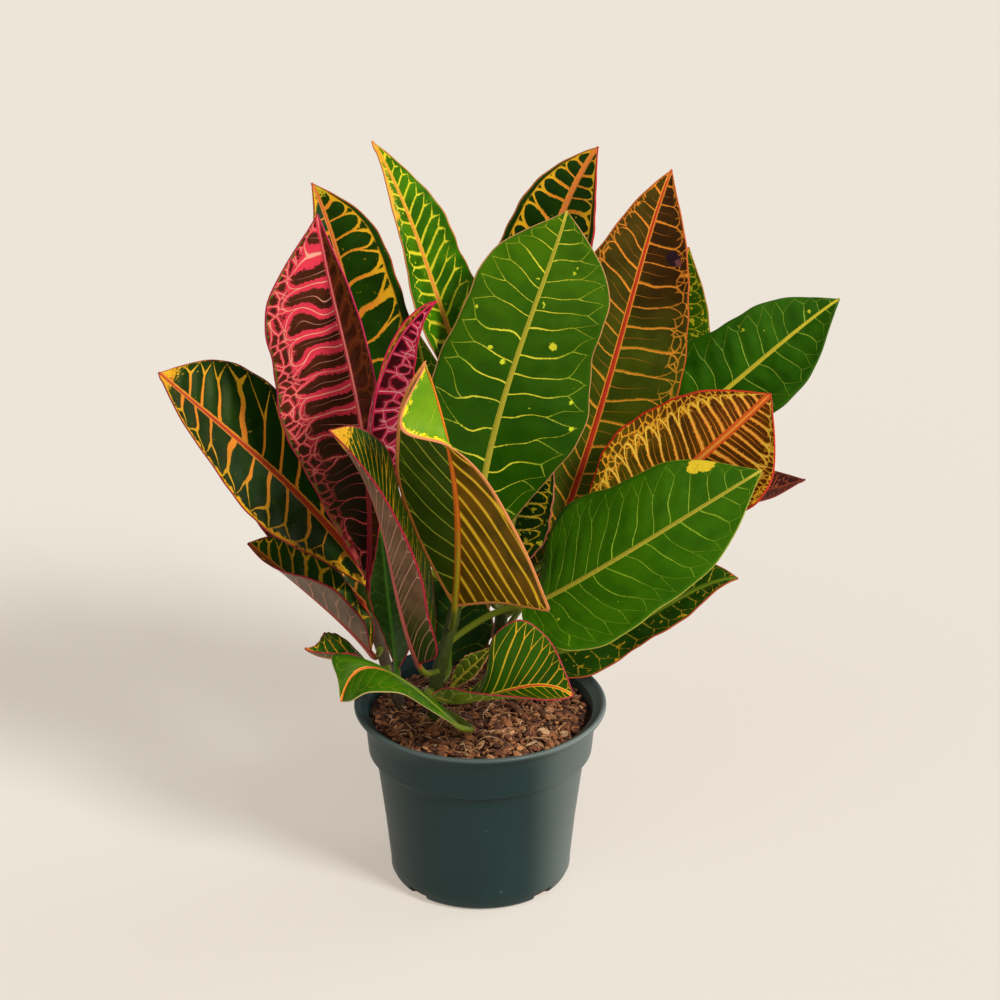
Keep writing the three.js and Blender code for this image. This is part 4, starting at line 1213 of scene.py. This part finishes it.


# Pink leaves: rose red bands round dark torn islands, with a thin pale vein in each band, turning
# maroon towards the base. On the large one the base is painted near black, partly its own colour
# and partly painted shade from the leaves in front.

grow(
    "leaf_pink", PLAIN, name="leaf_pink", stem="left", joins=110, faces=(-0.28, -0.92, 0.26),
    twist=-6, midrib=[(-46, 8, 128), (-46, 3, 193), (-54, 2, 242), (-63, 5, 290)],
    left=(20, 30, 31, 27), right=(17, 25, 27, 14), fold=(29, (27, 50, 32)), curl=(5, 5),
    waves=(1.2, 2.5), pitch=10.5, slope=[-0.12, 0.6], bend=0.0, quilt=0.35,
    # Painted shade: the left half's ground and bands darken to near black towards the base, partly the
    # leaf's own colour.
    ground=[("#1c0805", "#4c2012", 0.2, 0.55), "#3a200c"],
    deep=[("#120503", "#3c160e", 0.2, 0.55), "#281407"], halo=(0.4, 2.6, 0.2, 0.6), halo_rag=3.2,
    halo_colour=[("#6a141c", "#d8344a", 0.2, 0.5), "#5c2c0c"], vein=(0.2, 0.26, 0.2, 0.6),
    vein_colour=[("#c0504c", "#f6a48c", 0.2, 0.5), "#8a4a1c"], rag=0.1, taper=0.3, stray=2.0,
    fork=(0.45, 0.75), minor=0.16, net=0.9, net_size=4.4, net_width=0.11, net_from=(0.62, 0.76),
    rib=0.6, rib_colour=("#6f1420", "#f29a8c", 0.3, 0.55),
    rib_edge=("#8f1c2c", "#d8344a", 0.3, 0.5), rib_halo=0.8, margin=0.5, margin_colour="#b4184a",
    net_halo=0.5, band=[2.4, 0.0], band_colour="#5c5c16",
    below=dict(ground="#7a5a50", deep="#6a4a42", halo=0.0, band=[0.0, 0.0], vein_colour="#a87468"),
)

grow(
    "leaf_pink", PLAIN, name="leaf_magenta", stem="front", joins=130, faces=(0.62, -0.54, 0.57),
    twist=-2, midrib=[(-36, -18, 168), (-43, -24, 208), (-34, -27, 244), (-16, -25, 265)],
    left=(10, 15, 14, 7), right=(10, 14, 13, 7), fold=(43, 50), curl=(10, 10), waves=(0, 2.5),
    pitch=8.5, slope=[0.3, 0.3], bend=0.0, quilt=0.3,
    ground=["#4a4a10", "#4c0e1c"], deep=["#3a4a0c", "#380a16"], net_halo=0.7, halo=1.2,
    halo_rag=1.2, halo_colour=["#d07a20", "#cc2450"], vein=0.25,
    vein_colour=["#d8a030", "#f6a4ac"], rag=0.1, taper=0.2, stray=0.5, fork=(0.5, 0.85), net=0.9,
    net_size=6.0, net_width=0.15, net_from=(0.2, 0.4), rib=0.8, rib_colour="#d8486a",
    rib_edge="#b41c44", margin=0.6, margin_colour="#b81840",
    below=dict(
        ground="#a8243c", deep="#8a1c30", halo_colour="#c03a4c", vein_colour="#eca8a8", halo=0.0,
    ),
)


# Gold leaves: the large one is folded over in front, so that its underside shows. The light coming
# through that blade is painted: a gold ground with bright yellow veins on one half, painted
# transmitted light. A small olive one grows low down.

grow(
    "leaf_gold", PLAIN, name="leaf_front_turned", stem="front", joins=114, faces=(0, 0.95, -0.1),
    midrib=[(-10, -18, 132), (-8, -38, 175), (-11, -52, 214), (-20, -50, 250)],
    left_margin=[(8, -32, 140), (28, -48, 144), (17, -56, 176), (3, -60, 205), (-11, -62, 220),
                 (-30, -62, 228)],
    right_margin=[(-17, -22, 148), (-25, -30, 171), (-31, -38, 196), (-31, -44, 215),
                  (-29, -50, 232), (-25, -50, 242)],
    bulge=0, corner=2, pitch=9.0, slope=[-0.9, 0.7], bend=0.0, quilt=0.3,
    ground="#719a14", deep="#5c8a0e", vein=0.2, vein_colour="#93b226", rib=0.8,
    rib_colour="#b4c040", margin=1.3, margin_colour="#de8a5a", band=[5.0, 5.0],
    band_colour="#e6d422", gloss=0.42,
    # Painted light: the left half's gold ground, gold halos and bright yellow veins stand in for light
    # shining through the blade.
    below=dict(
        ground=["#74500a", "#38500a"], deep=["#4c3c04", "#2c4206"], halo=[1.7, 0.6],
        halo_colour=["#bc861a", "#54661a"], halo_rag=0.6, vein=[0.8, 0.34],
        vein_colour=["#f6cc30", "#b0b834"], rib=1.3, rib_colour=("#b8a828", "#dc7620", 0.1, 0.4),
        rib_edge="#c8581c", rib_halo=0.4, margin=1.5, margin_colour="#e0904c", band=[0.0, 0.0],
        taper=0.45, fork=(0.8, 1.0), stray=0.5,
    ),
)

grow(
    "leaf_gold", GREEN, name="leaf_inner_olive", stem="front", joins=82, faces=(-0.3, -0.7, 0.6),
    midrib=[(-12, -6, 88), (-7, -9, 96), (-1, -11, 103), (5, -12, 111)], left=(3, 5, 5, 3),
    right=(3, 5, 5, 3), fold=(20, 20), curl=(5, 10), start=(0.6, 0.95), waves=(0.3, 2.5),
    pitch=5.0, slope=[0.6, 0.6], bend=0.01,
    ground="#4a5a12", deep="#3c4c0e", rib=0.6,
)


# Grey leaves: folded up like a boat, so that their dull grey undersides show, with pale pink
# veins and a crimson margin.

GREY_BELOW = dict(
    ground="#64483a", deep="#503828", halo=0.0, vein=0.3, vein_colour="#b98270",
    out_colour="#b07a6c", rag=0.1, spots=0.0, band=[0.0, 0.0], rib_colour="#a8544c",
    rib_edge="#8a6050", margin=0.7, margin_colour="#a01c38", gloss=0.5,
)

grow(
    "leaf_grey", DARK, name="leaf_front_boat", stem="front", joins=96, faces=(0.85, 0.34, 0.39),
    midrib=[(-25, -26, 110), (-33, -45, 155), (-40, -52, 192), (-57, -52, 223)],
    left_margin=[(-17, -34, 119), (-20, -46, 142), (-22, -54, 161), (-28, -58, 181),
                 (-37, -58, 200), (-48, -56, 215)],
    right_margin=[(-18, -16, 117), (-18, -17, 135), (-21, -18, 157), (-30, -27, 182),
                  (-35, -37, 208), (-46, -47, 222)],
    bulge=-1, pitch=7.0, slope=[2.0, 2.0], bend=0.0, quilt=0.3,
    ground="#24440a", deep="#1a3807", vein=0.4, vein_colour="#c08a20", rag=0.3, tip=0.9,
    band_colour="#dfa824",
    below=dict(
        GREY_BELOW, ground=("#2c3c10", "#70503a", 0.15, 0.45),
        deep=("#24340c", "#553a28", 0.15, 0.45), fork=(0.9, 1.0), stray=0.4, vein=0.4, minor=0.3,
        rib=0.5, rib_halo=0.2,
    ),
)

grow(
    "leaf_grey", DARK, name="leaf_left_boat", stem="left", joins=98, faces=(0.1, 0.1, 0.9),
    midrib=[(-45, 4, 99), (-61, 4, 118), (-80, 6, 135), (-95, 8, 148)],
    left_margin=[(-47, -2, 116), (-52, -6, 126), (-59, -8, 135), (-69, -8, 140), (-79, -4, 141),
                 (-88, 2, 143)],
    right_margin=[(-44, 10, 110), (-50, 13, 119), (-57, 17, 129), (-67, 20, 137), (-78, 18, 146),
                  (-87, 12, 149)],
    bulge=-1, pitch=6.5, quilt=0.3,
    ground="#24480a", deep="#1a3a07", vein=0.6, vein_colour="#d0881e",
    below=dict(GREY_BELOW, ground="#75604f", deep="#625143"),
)


sizes = {"cad": [list(corner) for corner in cad_box], "visual": [list(corner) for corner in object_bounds()]}
